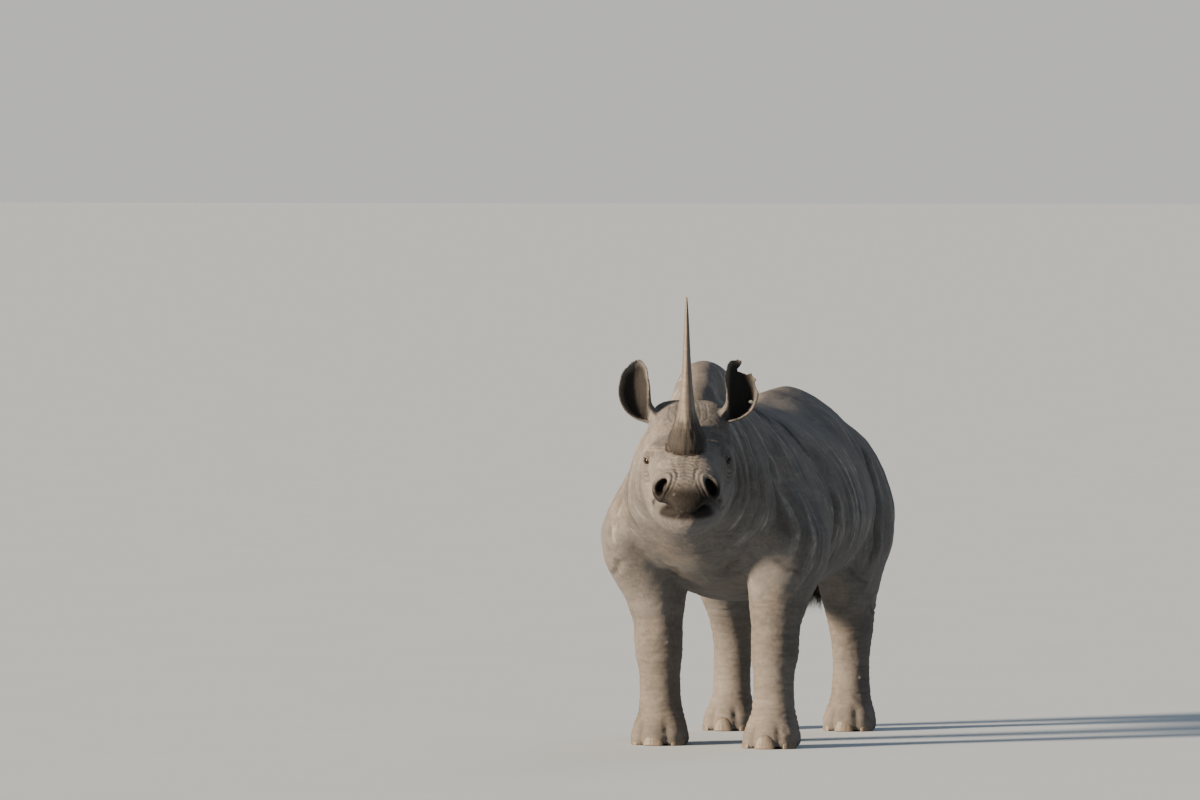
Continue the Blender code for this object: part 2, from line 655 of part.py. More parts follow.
def nail_solid(table, side, stride, nail, slices=5):
    """One nail: an upright shield bent round the front of the foot."""
    (centre_x, centre_y), half_x, half_y = foot_outline(table, side, stride)
    turn, spread, height = nail
    rings = []
    for share in np.linspace(-1, 1, slices):
        way = turn + share * spread
        out_x, out_y = half_x * math.sin(way), -half_y * math.cos(way)
        reach = math.hypot(out_x, out_y)
        tall = height * (1 - NAIL_SIDE_DROP * abs(share) ** 2.5)
        edge = 1 - abs(share) ** 4
        (low_z, low_side, low_mid), (mid_z, mid_side, mid_mid) = NAIL_FACE
        shoulder_z, shoulder_proud, set_back = NAIL_SHOULDER
        profile = (
            (reach - NAIL_DEPTH, 0),
            (reach + NAIL_PROUD * (low_side + low_mid * edge), tall * low_z),
            (reach + NAIL_PROUD * (mid_side + mid_mid * edge), tall * mid_z),
            (reach + NAIL_PROUD * shoulder_proud * edge - set_back, tall * shoulder_z),
            (reach - NAIL_TOP_DEPTH, tall),
            (reach - NAIL_DEPTH, tall * NAIL_BACK_TOP),
        )
        rings.append(
            [
                (centre_x + r * out_x / reach, centre_y + r * out_y / reach, z)
                for r, z in profile
            ]
        )
    return skin_rings(rings)


# ---- mouth and nostrils ----
def tube(path, radius, sides=6):
    """A closed tube along a path of the head's frame, tapering at both ends."""
    path = np.asarray(path, float)
    way = np.gradient(path, axis=0)
    way /= np.linalg.norm(way, axis=1)[:, None]
    up = np.array((0.0, 0.0, 1.0))
    across = np.cross(way, up)
    across /= np.linalg.norm(across, axis=1)[:, None]
    over = np.cross(across, way)
    rings = []
    for i, centre in enumerate(path):
        thin = radius * (GROOVE_END if i in (0, len(path) - 1) else 1.0)
        turn = 2 * math.pi * np.arange(sides) / sides
        ring = centre + thin * (
            np.cos(turn)[:, None] * across[i] + np.sin(turn)[:, None] * over[i]
        )
        rings.append(place_on_head(ring))
    return skin_rings(rings)


def lip_groove():
    half = smooth_rows([(i, *row) for i, row in enumerate(LIPS)], LIP_STEPS)[:, 1:]
    mirrored = half[:0:-1] * (-1, 1, 1)
    return tube(np.concatenate([mirrored, half]), LIP_GROOVE)


def nostril(side):
    """An upright oval pit that points forward and outward."""
    bm = bmesh.new()
    bmesh.ops.create_icosphere(bm, subdivisions=BALL_STEPS, radius=1)
    way = Vector((side * NOSTRIL_WAY[0], *NOSTRIL_WAY[1:])).normalized()
    across = way.cross(Vector((0, 0, 1))).normalized()
    up = across.cross(way)
    wide, high, deep = NOSTRIL_SIZE
    centre = Vector((side * NOSTRIL_AT[0], *NOSTRIL_AT[1:]))
    for vert in bm.verts:
        x, y, z = vert.co
        local = centre + across * (x * wide) + up * (z * high) + way * (y * deep)
        vert.co = Vector(place_on_head([local])[0])
    return bm


# ---- parting the body ----
def slab(corners, depth, axis):
    """A prism: a polygon of corners, extruded over the range depth of axis, 0 for x or 1 for y."""
    low, high = depth
    rings = []
    for end in (low, high):
        if axis == 0:
            rings.append([(end, a, b) for a, b in corners])
        else:
            rings.append([(a, end, b) for a, b in corners])
    return skin_rings(rings)


def box_on(matrix, low, high):
    """A box given by two corners in the frame of matrix."""
    bm = bmesh.new()
    size = Vector(high) - Vector(low)
    middle = (Vector(high) + Vector(low)) / 2
    placed = matrix @ Matrix.Translation(middle) @ Matrix.Diagonal((*size, 1))
    bmesh.ops.create_cube(bm, size=1, matrix=placed)
    return bm


def grown(bm, by):
    """Moves every face of a closed mesh out by at least the distance by."""
    bmesh.ops.recalc_face_normals(bm, faces=bm.faces[:])
    bm.verts.ensure_lookup_table()
    moves = []
    for vert in bm.verts:
        normals = []
        for face in vert.link_faces:
            if all(face.normal.dot(n) < SAME_PLANE for n in normals):
                normals.append(face.normal.copy())
        system = np.array([tuple(n) for n in normals])
        move = np.linalg.lstsq(system, np.ones(len(system)), rcond=None)[0]
        moves.append(by * move / max(0.3, (system @ move).min()))
    for vert, move in zip(bm.verts, moves):
        vert.co += Vector(move)
    return bm


def part_off(body, name, cutter):
    """Takes what lies inside the cutter off the body, as a new object with a GAP around it."""
    inner = new_object("cut_inner", grown(cutter.copy(), -GAP / 2))
    outer = new_object("cut_outer", grown(cutter, GAP / 2))
    piece = combine(copy_of(body, name), inner, "INTERSECT")
    combine(body, outer, "DIFFERENCE")
    remove(inner, outer)
    return piece


def cut(body, solid):
    """Takes the solid's volume out of the body."""
    if solid.calc_volume(signed=True) < 0:
        bmesh.ops.reverse_faces(solid, faces=solid.faces[:])
    cutter = new_object("cutter", solid)
    combine(body, cutter, "DIFFERENCE")
    remove(cutter)


def leg_cutter(side, place):
    """A prism round a leg, whose top slopes up from the armpit or groin to the outside."""
    inner_top, outer_top = LEG_CUT_TOP[place]
    inside, outside = LEG_CUT_ACROSS
    corners = (
        (side * inside, LEG_CUT_BOTTOM),
        (side * inside, inner_top),
        (side * outside, outer_top),
        (side * outside, LEG_CUT_BOTTOM),
    )
    return slab(corners, LEG_REACH[place], 1)


# ---- sub-parts ----
def leg_and_nails(body, place, word, side, table):
    """Parts a leg off the body and lets its three nails into the foot."""
    name = f"{place}_{word}"
    leg = part_off(body, f"leg_{name}", leg_cutter(side, place))
    nails = []
    for toe, shape in zip(("middle", "right", "left"), NAILS):
        cut(leg, grown(nail_solid(table, side, STRIDE[name], shape), GAP))
        solid = nail_solid(table, side, STRIDE[name], shape)
        nails.append(new_object(f"nail_{name}_{toe}", solid))
    return leg, nails


def all_legs(body):
    legs, nails = [], []
    for place, table in LEG_TABLES:
        for word, side in SIDES:
            leg, its_nails = leg_and_nails(body, place, word, side, table)
            legs.append(leg)
            nails += its_nails
    return legs, nails


def tail_piece(body):
    return part_off(body, "tail", box_on(Matrix.Identity(4), *TAIL_CUT))


def head_piece(body):
    return part_off(body, "head", box_on(head_matrix(), *HEAD_CUT))


def neck_piece(body):
    return part_off(body, "neck", slab(NECK_CUT, NECK_CUT_ACROSS, 0))


def ear_piece(head, word, side):
    """Fuses an ear to the head, so that its root fits, and parts it off outside the skull."""
    loft = new_object("ear_loft", ear_solid(side))
    combine(head, loft, "UNION")
    remove(loft)
    near, far = sorted((side * EAR_CUT, side * EAR_CUT_FAR))
    low, high = (near, -EAR_CUT_FORE, EAR_CUT_LOW), (far, EAR_CUT_FORE, EAR_CUT_HIGH)
    ear = part_off(head, f"ear_{word}", box_on(head_matrix(), low, high))
    if word == "left":
        tear = slab(TEAR, TEAR_DEPTH, 1)
        bmesh.ops.transform(tear, matrix=head_matrix(), verts=tear.verts[:])
        cut(ear, tear)
    return ear


def eye_piece(head, word, side):
    cut(head, eye_solid(side, GAP))
    return new_object(f"eye_{word}", eye_solid(side))


def horn_piece(head, name, table, at, bend):
    cut(head, grown(horn_solid(table, at, *bend), GAP))
    return new_object(name, horn_solid(table, at, *bend))


def hide_material():
    return material("hide", (0.20, 0.19, 0.18), 0.75)


def horn_material():
    return material("horn", (0.16, 0.13, 0.10), 0.5)


def nail_material():
    return material("nail", (0.24, 0.21, 0.17), 0.55)


def eye_material():
    return material("eye", (0.03, 0.02, 0.015), 0.1)


def dress(objects, finish):
    for obj in objects:
        obj.data.materials.clear()
        obj.data.materials.append(finish)
        obj.data.shade_smooth()
        obj.data.set_sharp_from_angle(angle=SHARP_ANGLE)


def centre_on_base(objects):
    """Moves the whole animal so that the origin is under the middle of its box, on the ground."""
    corners = np.array([v.co for obj in objects for v in obj.data.vertices])
    low, high = corners.min(0), corners.max(0)
    shift = Matrix.Translation((-(low[0] + high[0]) / 2, -(low[1] + high[1]) / 2, -low[2]))
    for obj in objects:
        obj.data.transform(shift)


def build():
    for obj in list(bpy.data.objects):
        bpy.data.objects.remove(obj)

    body = thin_out(flesh_body())
    flesh, nails = all_legs(body)
    flesh.append(tail_piece(body))
    head = head_piece(body)
    flesh += [head, neck_piece(body)]
    body.name = "trunk"
    flesh.append(body)

    eyes = []
    for word, side in SIDES:
        flesh.append(ear_piece(head, word, side))
        cut(head, nostril(side))
        eyes.append(eye_piece(head, word, side))
    cut(head, lip_groove())
    horns = [
        horn_piece(head, "horn_front", FRONT_HORN, FRONT_HORN_AT, FRONT_HORN_BEND),
        horn_piece(head, "horn_rear", REAR_HORN, REAR_HORN_AT, REAR_HORN_BEND),
    ]

    dress(flesh, hide_material())
    dress(horns, horn_material())
    dress(nails, nail_material())
    dress(eyes, eye_material())
    centre_on_base(flesh + horns + nails + eyes)


build()
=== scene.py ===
import math

import bpy
import numpy as np
from mathutils import Matrix, Vector


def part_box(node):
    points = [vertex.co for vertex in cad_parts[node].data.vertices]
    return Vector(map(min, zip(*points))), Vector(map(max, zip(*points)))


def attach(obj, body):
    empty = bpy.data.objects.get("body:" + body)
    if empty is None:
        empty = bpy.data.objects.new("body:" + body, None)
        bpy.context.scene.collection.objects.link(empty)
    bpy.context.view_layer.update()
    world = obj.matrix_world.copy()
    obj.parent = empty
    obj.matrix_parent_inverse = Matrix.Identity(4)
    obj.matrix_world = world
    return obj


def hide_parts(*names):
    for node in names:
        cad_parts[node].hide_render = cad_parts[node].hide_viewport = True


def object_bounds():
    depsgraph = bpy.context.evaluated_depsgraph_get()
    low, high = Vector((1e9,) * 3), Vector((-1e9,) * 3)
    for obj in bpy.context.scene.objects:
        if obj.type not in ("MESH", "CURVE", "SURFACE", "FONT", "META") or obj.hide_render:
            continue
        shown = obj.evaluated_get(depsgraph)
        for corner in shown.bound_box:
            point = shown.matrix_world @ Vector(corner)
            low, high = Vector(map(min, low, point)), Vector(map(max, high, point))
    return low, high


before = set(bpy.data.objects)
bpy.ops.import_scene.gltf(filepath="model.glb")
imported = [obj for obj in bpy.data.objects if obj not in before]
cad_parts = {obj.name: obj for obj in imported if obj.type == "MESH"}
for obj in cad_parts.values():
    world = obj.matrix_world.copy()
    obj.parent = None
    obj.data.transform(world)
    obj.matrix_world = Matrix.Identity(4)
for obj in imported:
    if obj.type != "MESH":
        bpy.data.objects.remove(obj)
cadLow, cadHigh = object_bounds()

# A black rhinoceros, life size. The skin is worked out on a straight neck and then swung to its pose.
pose = {
    "headTurn": 14.5,  # degrees to the animal's left
    "headPitch": 14,  # fall of the face, from poll to lips
    "neckRootY": -0.78,
    "neckLength": 0.44,
    "headOriginY": -1.25,
    "headOriginZ": 1.225,
}
sides = (("left", 1), ("right", -1))
feet = [(place, word, side) for place in ("front", "hind") for word, side in sides]


# curves and frames
# rows at even steps of the first column's distance, as monotone cubics
def smoothRows(table, count):
    rows = np.array(table, float)
    along = np.concatenate([[0], np.cumsum(np.abs(np.diff(rows[:, 0])))])
    at = np.linspace(0, along[-1], count)
    step = np.diff(along)
    slope = np.diff(rows, axis=0) / step[:, None]
    before, after = slope[:-1], slope[1:]
    same = before * after > 0
    tangent = np.zeros_like(rows)
    tangent[1:-1] = np.where(same, 2 * before * after / np.where(same, before + after, 1.0), 0)
    tangent[0], tangent[-1] = slope[0], slope[-1]
    i = np.clip(np.searchsorted(along, at, side="right") - 1, 0, len(step) - 1)
    h = step[i][:, None]
    t = (at[:, None] - along[i][:, None]) / h
    return ((1 + 2 * t) * (1 - t) ** 2 * rows[i] + t * (1 - t) ** 2 * h * tangent[i]
            + t**2 * (3 - 2 * t) * rows[i + 1] + t**2 * (t - 1) * h * tangent[i + 1])


# a smooth path through a few points
def smoothPath(points, count=24):
    return smoothRows([(i, *p) for i, p in enumerate(points)], count)[:, 1:]


# an arc of an ellipse in two coordinates, angles in degrees
def arc(centre, radii, start, end, count=9):
    turn = np.radians(np.linspace(start, end, count))
    return [(centre[0] + radii[0] * c, centre[1] + radii[1] * s) for c, s in zip(np.cos(turn), np.sin(turn))]


def smoothStep(value, low, high):
    t = np.clip((value - low) / (high - low), 0, 1)
    return t * t * (3 - 2 * t)


# 1 at the middle of a bell curve, falling to 1/e at its width
def bell(distance, width):
    return np.exp(-((distance / width) ** 2))


# even angles round a circle
def roundTurns(count):
    return 2 * math.pi * np.arange(count) / count


# a vector of the left side, or its mirror image for the right side
def mirrored(vector, side):
    return np.array((side * vector[0], *vector[1:]))


# head frame (lateral, forward, up) to the straight-necked animal
def fromHead(points):
    points = np.asarray(points, float)
    pitch = math.radians(pose["headPitch"])
    forward, up = points[..., 1], points[..., 2]
    y = pose["headOriginY"] - forward * math.cos(pitch) - up * math.sin(pitch)
    z = pose["headOriginZ"] - forward * math.sin(pitch) + up * math.cos(pitch)
    return np.stack([points[..., 0], y, z], axis=-1)


# the same for directions, which only turn
def wayFromHead(ways):
    return fromHead(ways) - fromHead(np.zeros((1, 3)))


# the inverse of fromHead; with move=0 it turns directions only
def toHead(points, move=1):
    pitch = math.radians(pose["headPitch"])
    y = points[:, 1] - move * pose["headOriginY"]
    z = points[:, 2] - move * pose["headOriginZ"]
    forward = -y * math.cos(pitch) - z * math.sin(pitch)
    return np.stack([points[:, 0], forward, -y * math.sin(pitch) + z * math.cos(pitch)], axis=1)


# what lies ahead of the neck's root turns to the left along an arc, and then runs straight
def swingNeck(points):
    points = np.asarray(points, float)
    x, y = points[..., 0], points[..., 1]
    ahead = np.clip(pose["neckRootY"] - y, 0, None)
    bent = np.clip(ahead, 0, pose["neckLength"])
    full = math.radians(pose["headTurn"])
    yaw = full * bent / pose["neckLength"]
    radius = pose["neckLength"] / full
    middleX = radius * (1 - np.cos(yaw)) + (ahead - bent) * np.sin(yaw)
    middleY = pose["neckRootY"] - radius * np.sin(yaw) - (ahead - bent) * np.cos(yaw)
    middleY = middleY + np.clip(y - pose["neckRootY"], 0, None)
    return np.stack([middleX + x * np.cos(yaw), middleY + x * np.sin(yaw), points[..., 2]], axis=-1)


eye = {
    "at": (0.151, 0.315, 0.052),  # lateral, forward, up
    "radius": 0.023,
    "gaze": (0.78, 0.61, 0.08),
    "halfLong": 54,  # half angles of the opening between the lids, in degrees
    "halfUp": 31,
    "halfDown": 25,
    "tilt": -14,  # the front corner is lower
    "socket": (0.011, 0.019),  # depth and width of the hollow round the ball
    "swell": (0.0035, 0.043, 0.010),  # the ring round it: height, distance from the middle, width
    "creaseShade": (0.030, 0.006),  # distance and width of the painted shade line between them
}
boxMiddles = [sum(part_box(f"eye_{word}"), Vector()) / 2 for word, _ in sides]
eyeMiddle = np.array(sum(boxMiddles, Vector()) / 2)
shift = eyeMiddle - swingNeck(fromHead([mirrored(eye["at"], side) for _, side in sides])).mean(0)


# straight-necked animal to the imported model's frame
def toFrame(points):
    return swingNeck(points) + shift


# surfaces
# neighbouring points of a grid, joined as quads; closed joins the last column to the first
def gridQuads(rows, columns, closed=True):
    i = np.arange(rows - 1)[:, None] * columns
    j = np.arange(columns if closed else columns - 1)[None, :]
    k = (j + 1) % columns
    return np.stack([i + j, i + k, i + columns + k, i + columns + j], axis=-1).reshape(-1, 4)


# points, quads and triangles of a tube through rings, with a fan to a middle point at each end
def tubeParts(rings):
    rows, columns = rings.shape[:2]
    points = np.concatenate([rings.reshape(-1, 3), rings[0].mean(0)[None], rings[-1].mean(0)[None]])
    j = np.arange(columns)
    k = (j + 1) % columns
    last = (rows - 1) * columns
    start = np.stack([k, j, np.full(columns, rows * columns)], axis=1)
    end = np.stack([last + j, last + k, np.full(columns, rows * columns + 1)], axis=1)
    return points, gridQuads(rows, columns), np.concatenate([start, end])


# six times the volume, by the tetrahedra from the origin to each corner triangle
def volumeSign(points, faces):
    a, b = points[faces[:, 0]], points[faces[:, 1]]
    total = 0.0
    for n in range(2, faces.shape[1]):
        c = points[faces[:, n]]
        total += np.einsum("ij,ij->i", a, np.cross(b, c)).sum()
        b = c
    return total


def makeMesh(name, points, *faceSets, outward=True):
    faceSets = [f for f in faceSets if f is not None and len(f)]
    if outward and sum(volumeSign(points - points.mean(0), f) for f in faceSets) < 0:
        faceSets = [f[:, ::-1] for f in faceSets]
    corners = np.concatenate([f.ravel() for f in faceSets]).astype(np.int32)
    sizes = np.concatenate([np.full(len(f), f.shape[1]) for f in faceSets])
    starts = np.concatenate([[0], np.cumsum(sizes)[:-1]]).astype(np.int32)
    mesh = bpy.data.meshes.new(name)
    mesh.vertices.add(len(points))
    mesh.vertices.foreach_set("co", points.astype(np.float32).ravel())
    mesh.loops.add(len(corners))
    mesh.loops.foreach_set("vertex_index", corners)
    mesh.polygons.add(len(sizes))
    mesh.polygons.foreach_set("loop_start", starts)
    mesh.update(calc_edges=True)
    mesh.validate()
    mesh.shade_smooth()
    return mesh


def makeObject(name, mesh):
    made = bpy.data.objects.new(name, mesh)
    bpy.context.scene.collection.objects.link(made)
    return made


# one number for each point of a mesh, for its material to read
def pointValues(mesh, name, values):
    mesh.attributes.new(name, "FLOAT", "POINT").data.foreach_set("value", values.astype(np.float32))


def meshPoints(mesh):
    points = np.empty(len(mesh.vertices) * 3, np.float32)
    mesh.vertices.foreach_get("co", points)
    return points.reshape(-1, 3).astype(float)


# the object's evaluated mesh; the object itself is removed
def evaluated(made):
    graph = bpy.context.evaluated_depsgraph_get()
    graph.update()
    mesh = bpy.data.meshes.new_from_object(made.evaluated_get(graph), depsgraph=graph)
    bpy.data.objects.remove(made)
    return mesh


# several closed meshes as one list of points and one list of faces for each face size
def joinParts(parts):
    points, groups, start = [], {}, 0
    for found, *faceSets in parts:
        for faces in faceSets:
            groups.setdefault(faces.shape[1], []).append(faces + start)
        points.append(found)
        start += len(found)
    return (np.concatenate(points), *[np.concatenate(g) for g in groups.values()])


def edgesOf(quads):
    pairs = np.concatenate([quads[:, [n, (n + 1) % 4]] for n in range(4)])
    pairs.sort(axis=1)
    code = np.unique(pairs[:, 0].astype(np.int64) * (quads.max() + 1) + pairs[:, 1])
    return np.stack([code // (quads.max() + 1), code % (quads.max() + 1)], axis=1)


# each point moves by a share of the way to the mean of its neighbours
def relax(points, edges, steps, share):
    count = len(points)
    a, b = edges[:, 0], edges[:, 1]
    near = np.maximum(np.bincount(edges.ravel(), minlength=count), 1)
    for _ in range(steps):
        mean = np.stack([np.bincount(a, points[b, n], count) + np.bincount(b, points[a, n], count)
                         for n in range(3)], axis=1) / near[:, None]
        points = points + share[:, None] * (mean - points)
    return points


# vertex normals: the sum of the quads' normals, from the cross product of their diagonals
def normalsOf(points, quads):
    normal = np.cross(points[quads[:, 2]] - points[quads[:, 0]], points[quads[:, 3]] - points[quads[:, 1]])
    total = np.zeros_like(points)
    for n in range(4):
        for axis in range(3):
            total[:, axis] += np.bincount(quads[:, n], normal[:, axis], len(points))
    return total / np.maximum(np.linalg.norm(total, axis=1), 1e-12)[:, None]


# smooth random hills from -1 to 1: slopes fixed at the corners of a lattice, blended between them
def hills(points, size, seed):
    slopes = np.random.default_rng(seed).normal(size=(256, 3))
    slopes /= np.linalg.norm(slopes, axis=1)[:, None]
    order = np.random.default_rng(seed + 77).permutation(256)
    at = points / np.asarray(size) + 100.5
    cell = np.floor(at).astype(np.int64)
    t = at - cell
    s = t * t * t * (t * (t * 6 - 15) + 10)
    total = np.zeros(len(points))
    for corner in np.ndindex(2, 2, 2):
        c = cell + corner
        key = order[(c[:, 0] + order[(c[:, 1] + order[c[:, 2] % 256]) % 256]) % 256]
        weight = np.prod(np.where(corner, s, 1 - s), axis=1)
        total += weight * np.einsum("ij,ij->i", slopes[key], t - corner)
    return total * 1.6


# two sets of hills as a shift in two coordinates
def hillPair(points, size, seed):
    return np.stack([hills(points, size, seed), hills(points, size, seed + 1)], axis=1)


def hillsOn(grid, size, seed):
    return hills(grid.reshape(-1, 3), size, seed).reshape(grid.shape[:-1])


# 1 along the level line of smooth hills and 0 away from it: long wandering wrinkles
def wrinkles(points, size, thin, seed):
    return bell(hills(points, size, seed), thin)


# the lofts of the flesh
# y, top, bottom, half width, level of the widest point, upper and lower fullness
trunk = {
    "barrel": (
        (0.935, 1.140, 1.000, 0.030, 1.07, 2.0, 2.0), (0.915, 1.215, 0.900, 0.120, 1.06, 2.0, 2.0),
        (0.850, 1.310, 0.800, 0.225, 1.05, 1.9, 2.0), (0.710, 1.398, 0.705, 0.325, 1.02, 1.75, 2.0),
        (0.500, 1.447, 0.650, 0.395, 0.98, 1.65, 2.0), (0.270, 1.430, 0.610, 0.435, 0.95, 1.70, 2.1),
        (0.010, 1.388, 0.580, 0.455, 0.93, 1.80, 2.1), (-0.250, 1.395, 0.580, 0.452, 0.92, 1.70, 2.0),
        (-0.500, 1.435, 0.620, 0.430, 0.90, 1.55, 1.9), (-0.680, 1.490, 0.680, 0.405, 0.90, 1.45, 1.9),
        (-0.820, 1.510, 0.735, 0.345, 0.94, 1.50, 1.9), (-0.940, 1.480, 0.795, 0.290, 1.02, 1.65, 1.9),
        (-1.060, 1.435, 0.855, 0.248, 1.07, 1.85, 2.0), (-1.180, 1.400, 0.915, 0.212, 1.10, 1.95, 2.0),
        (-1.310, 1.360, 0.980, 0.165, 1.13, 2.0, 2.0),
    ),
    "hump": (
        (-0.300, 1.380, 1.300, 0.030, 1.34, 2.0, 2.0), (-0.420, 1.445, 1.300, 0.070, 1.36, 2.0, 2.0),
        (-0.560, 1.515, 1.300, 0.088, 1.42, 2.0, 2.0), (-0.700, 1.570, 1.300, 0.098, 1.46, 2.0, 2.0),
        (-0.810, 1.584, 1.300, 0.100, 1.47, 2.0, 2.0), (-0.910, 1.562, 1.280, 0.095, 1.45, 2.0, 2.0),
        (-1.010, 1.500, 1.260, 0.092, 1.40, 2.0, 2.0), (-1.100, 1.440, 1.240, 0.070, 1.36, 2.0, 2.0),
        (-1.160, 1.400, 1.240, 0.030, 1.33, 2.0, 2.0),
    ),
    # distance back, height, radius
    "tail": (
        (0.860, 1.265, 0.050), (0.930, 1.235, 0.043), (0.975, 1.150, 0.031), (0.988, 1.030, 0.024),
        (0.982, 0.900, 0.019), (0.974, 0.780, 0.016), (0.970, 0.680, 0.014), (0.970, 0.620, 0.013),
        (0.970, 0.604, 0.006),
    ),
}
# the same columns in the head's frame, with forward in place of y
head = {
    "skull": (
        (-0.075, 0.140, -0.090, 0.105, 0.00, 2.6, 2.0), (-0.040, 0.195, -0.150, 0.146, 0.02, 3.4, 2.0),
        (0.015, 0.220, -0.190, 0.162, 0.03, 4.0, 2.0), (0.070, 0.204, -0.205, 0.172, 0.01, 3.2, 2.0),
        (0.140, 0.166, -0.205, 0.184, -0.01, 2.5, 2.0), (0.220, 0.142, -0.190, 0.188, 0.00, 2.2, 2.0),
        (0.290, 0.138, -0.170, 0.180, 0.02, 2.2, 2.0), (0.360, 0.138, -0.150, 0.160, 0.01, 2.2, 2.1),
        (0.430, 0.136, -0.105, 0.147, 0.00, 2.2, 2.2), (0.510, 0.122, -0.076, 0.140, 0.01, 2.3, 2.4),
        (0.570, 0.097, -0.058, 0.137, 0.01, 2.4, 2.5), (0.615, 0.072, -0.046, 0.128, 0.01, 2.5, 2.5),
        (0.652, 0.044, -0.038, 0.098, 0.00, 2.3, 2.2), (0.676, 0.018, -0.034, 0.056, -0.01, 2.1, 2.0),
        (0.686, 0.002, -0.028, 0.022, -0.014, 2.0, 2.0),
    ),
    "jaw": (
        (-0.020, -0.040, -0.140, 0.080, -0.09, 2.0, 2.0), (0.020, -0.020, -0.205, 0.128, -0.11, 2.0, 2.0),
        (0.090, -0.010, -0.238, 0.164, -0.13, 2.0, 2.2), (0.180, -0.020, -0.244, 0.172, -0.13, 2.0, 2.4),
        (0.280, -0.030, -0.232, 0.164, -0.13, 2.0, 2.4), (0.380, -0.035, -0.215, 0.150, -0.12, 2.0, 2.4),
        (0.470, -0.038, -0.204, 0.136, -0.11, 2.0, 2.3), (0.550, -0.036, -0.192, 0.122, -0.10, 2.1, 2.2),
        (0.605, -0.036, -0.176, 0.104, -0.09, 2.2, 2.1), (0.648, -0.040, -0.148, 0.072, -0.08, 2.2, 2.0),
        (0.668, -0.052, -0.120, 0.030, -0.08, 2.0, 2.0),
    ),
    "cheek": (
        (-0.010, 0.040, -0.160, 0.120, -0.06, 2.0, 2.0), (0.040, 0.060, -0.190, 0.158, -0.07, 2.2, 2.2),
        (0.110, 0.070, -0.205, 0.178, -0.07, 2.4, 2.4), (0.200, 0.070, -0.208, 0.185, -0.07, 2.5, 2.5),
        (0.290, 0.060, -0.198, 0.176, -0.07, 2.5, 2.5), (0.370, 0.050, -0.180, 0.160, -0.07, 2.5, 2.4),
        (0.440, 0.036, -0.160, 0.147, -0.07, 2.4, 2.3), (0.490, 0.010, -0.135, 0.134, -0.06, 2.2, 2.2),
        (0.512, -0.020, -0.105, 0.100, -0.06, 2.0, 2.0),
    ),
    "lip": (
        (0.580, 0.050, -0.050, 0.100, 0.00, 2.2, 2.0), (0.620, 0.045, -0.043, 0.099, 0.00, 2.2, 2.0),
        (0.655, 0.032, -0.040, 0.086, -0.005, 2.2, 2.0), (0.680, 0.014, -0.047, 0.064, -0.014, 2.1, 2.0),
        (0.698, -0.004, -0.054, 0.044, -0.027, 2.0, 2.0), (0.708, -0.024, -0.052, 0.019, -0.038, 2.0, 2.0),
    ),
}
# a left leg from top to sole: z, front edge, back edge, inner edge, outer edge, fullness
legs = {
    "front": (
        (1.330, -0.700, -0.540, 0.080, 0.160, 2.0), (1.220, -0.780, -0.470, 0.100, 0.270, 2.0),
        (1.080, -0.850, -0.410, 0.110, 0.370, 2.0), (0.960, -0.885, -0.380, 0.120, 0.435, 2.0),
        (0.860, -0.875, -0.365, 0.130, 0.472, 2.0), (0.770, -0.835, -0.370, 0.135, 0.466, 2.0),
        (0.680, -0.775, -0.395, 0.142, 0.430, 2.1), (0.580, -0.725, -0.440, 0.148, 0.383, 2.1),
        (0.480, -0.700, -0.472, 0.155, 0.358, 2.1), (0.380, -0.695, -0.482, 0.155, 0.352, 2.2),
        (0.290, -0.678, -0.495, 0.166, 0.336, 2.1), (0.200, -0.668, -0.495, 0.166, 0.336, 2.1),
        (0.130, -0.682, -0.485, 0.155, 0.347, 2.1), (0.070, -0.706, -0.474, 0.139, 0.361, 2.2),
        (0.030, -0.718, -0.470, 0.132, 0.368, 2.2), (0.000, -0.712, -0.474, 0.137, 0.363, 2.2),
    ),
    "hind": (
        (1.340, 0.310, 0.670, 0.060, 0.200, 2.0), (1.200, 0.240, 0.850, 0.080, 0.330, 2.0),
        (1.050, 0.200, 0.930, 0.085, 0.395, 2.0), (0.920, 0.185, 0.930, 0.095, 0.425, 2.0),
        (0.800, 0.190, 0.880, 0.110, 0.425, 2.0), (0.700, 0.240, 0.815, 0.125, 0.405, 2.0),
        (0.600, 0.330, 0.765, 0.140, 0.378, 2.0), (0.510, 0.420, 0.748, 0.150, 0.352, 2.0),
        (0.440, 0.478, 0.748, 0.154, 0.342, 2.0), (0.360, 0.512, 0.720, 0.165, 0.331, 2.1),
        (0.260, 0.525, 0.692, 0.168, 0.326, 2.1), (0.180, 0.520, 0.685, 0.166, 0.328, 2.1),
        (0.120, 0.498, 0.688, 0.155, 0.339, 2.1), (0.065, 0.473, 0.694, 0.143, 0.353, 2.2),
        (0.030, 0.464, 0.697, 0.138, 0.358, 2.2), (0.000, 0.470, 0.692, 0.143, 0.353, 2.2),
    ),
    "stride": {"front_left": -0.055, "front_right": 0.045, "hind_left": 0.050, "hind_right": -0.060},
    "strideTop": 0.95,  # above this the stride moves nothing
}


# a closed superellipse for each row, with its own upper and lower half
def ovals(half, rise, drop, fullUp, fullDown, count):
    turn = roundTurns(count)
    cos, sin = np.cos(turn), np.sin(turn)
    over = sin >= 0
    full = np.where(over, fullUp[:, None], fullDown[:, None])
    across = half[:, None] * np.sign(cos) * np.abs(cos) ** (2 / full)
    up = np.where(over, rise[:, None], drop[:, None]) * np.sign(sin) * np.abs(sin) ** (2 / full)
    return across, up


def sectionLoft(table, count=110, around=84):
    at, top, bottom, half, wide, fullUp, fullDown = smoothRows(table, count).T
    across, up = ovals(half, top - wide, wide - bottom, fullUp, fullDown, around)
    return np.stack([across, np.broadcast_to(at[:, None], across.shape), wide[:, None] + up], axis=-1)


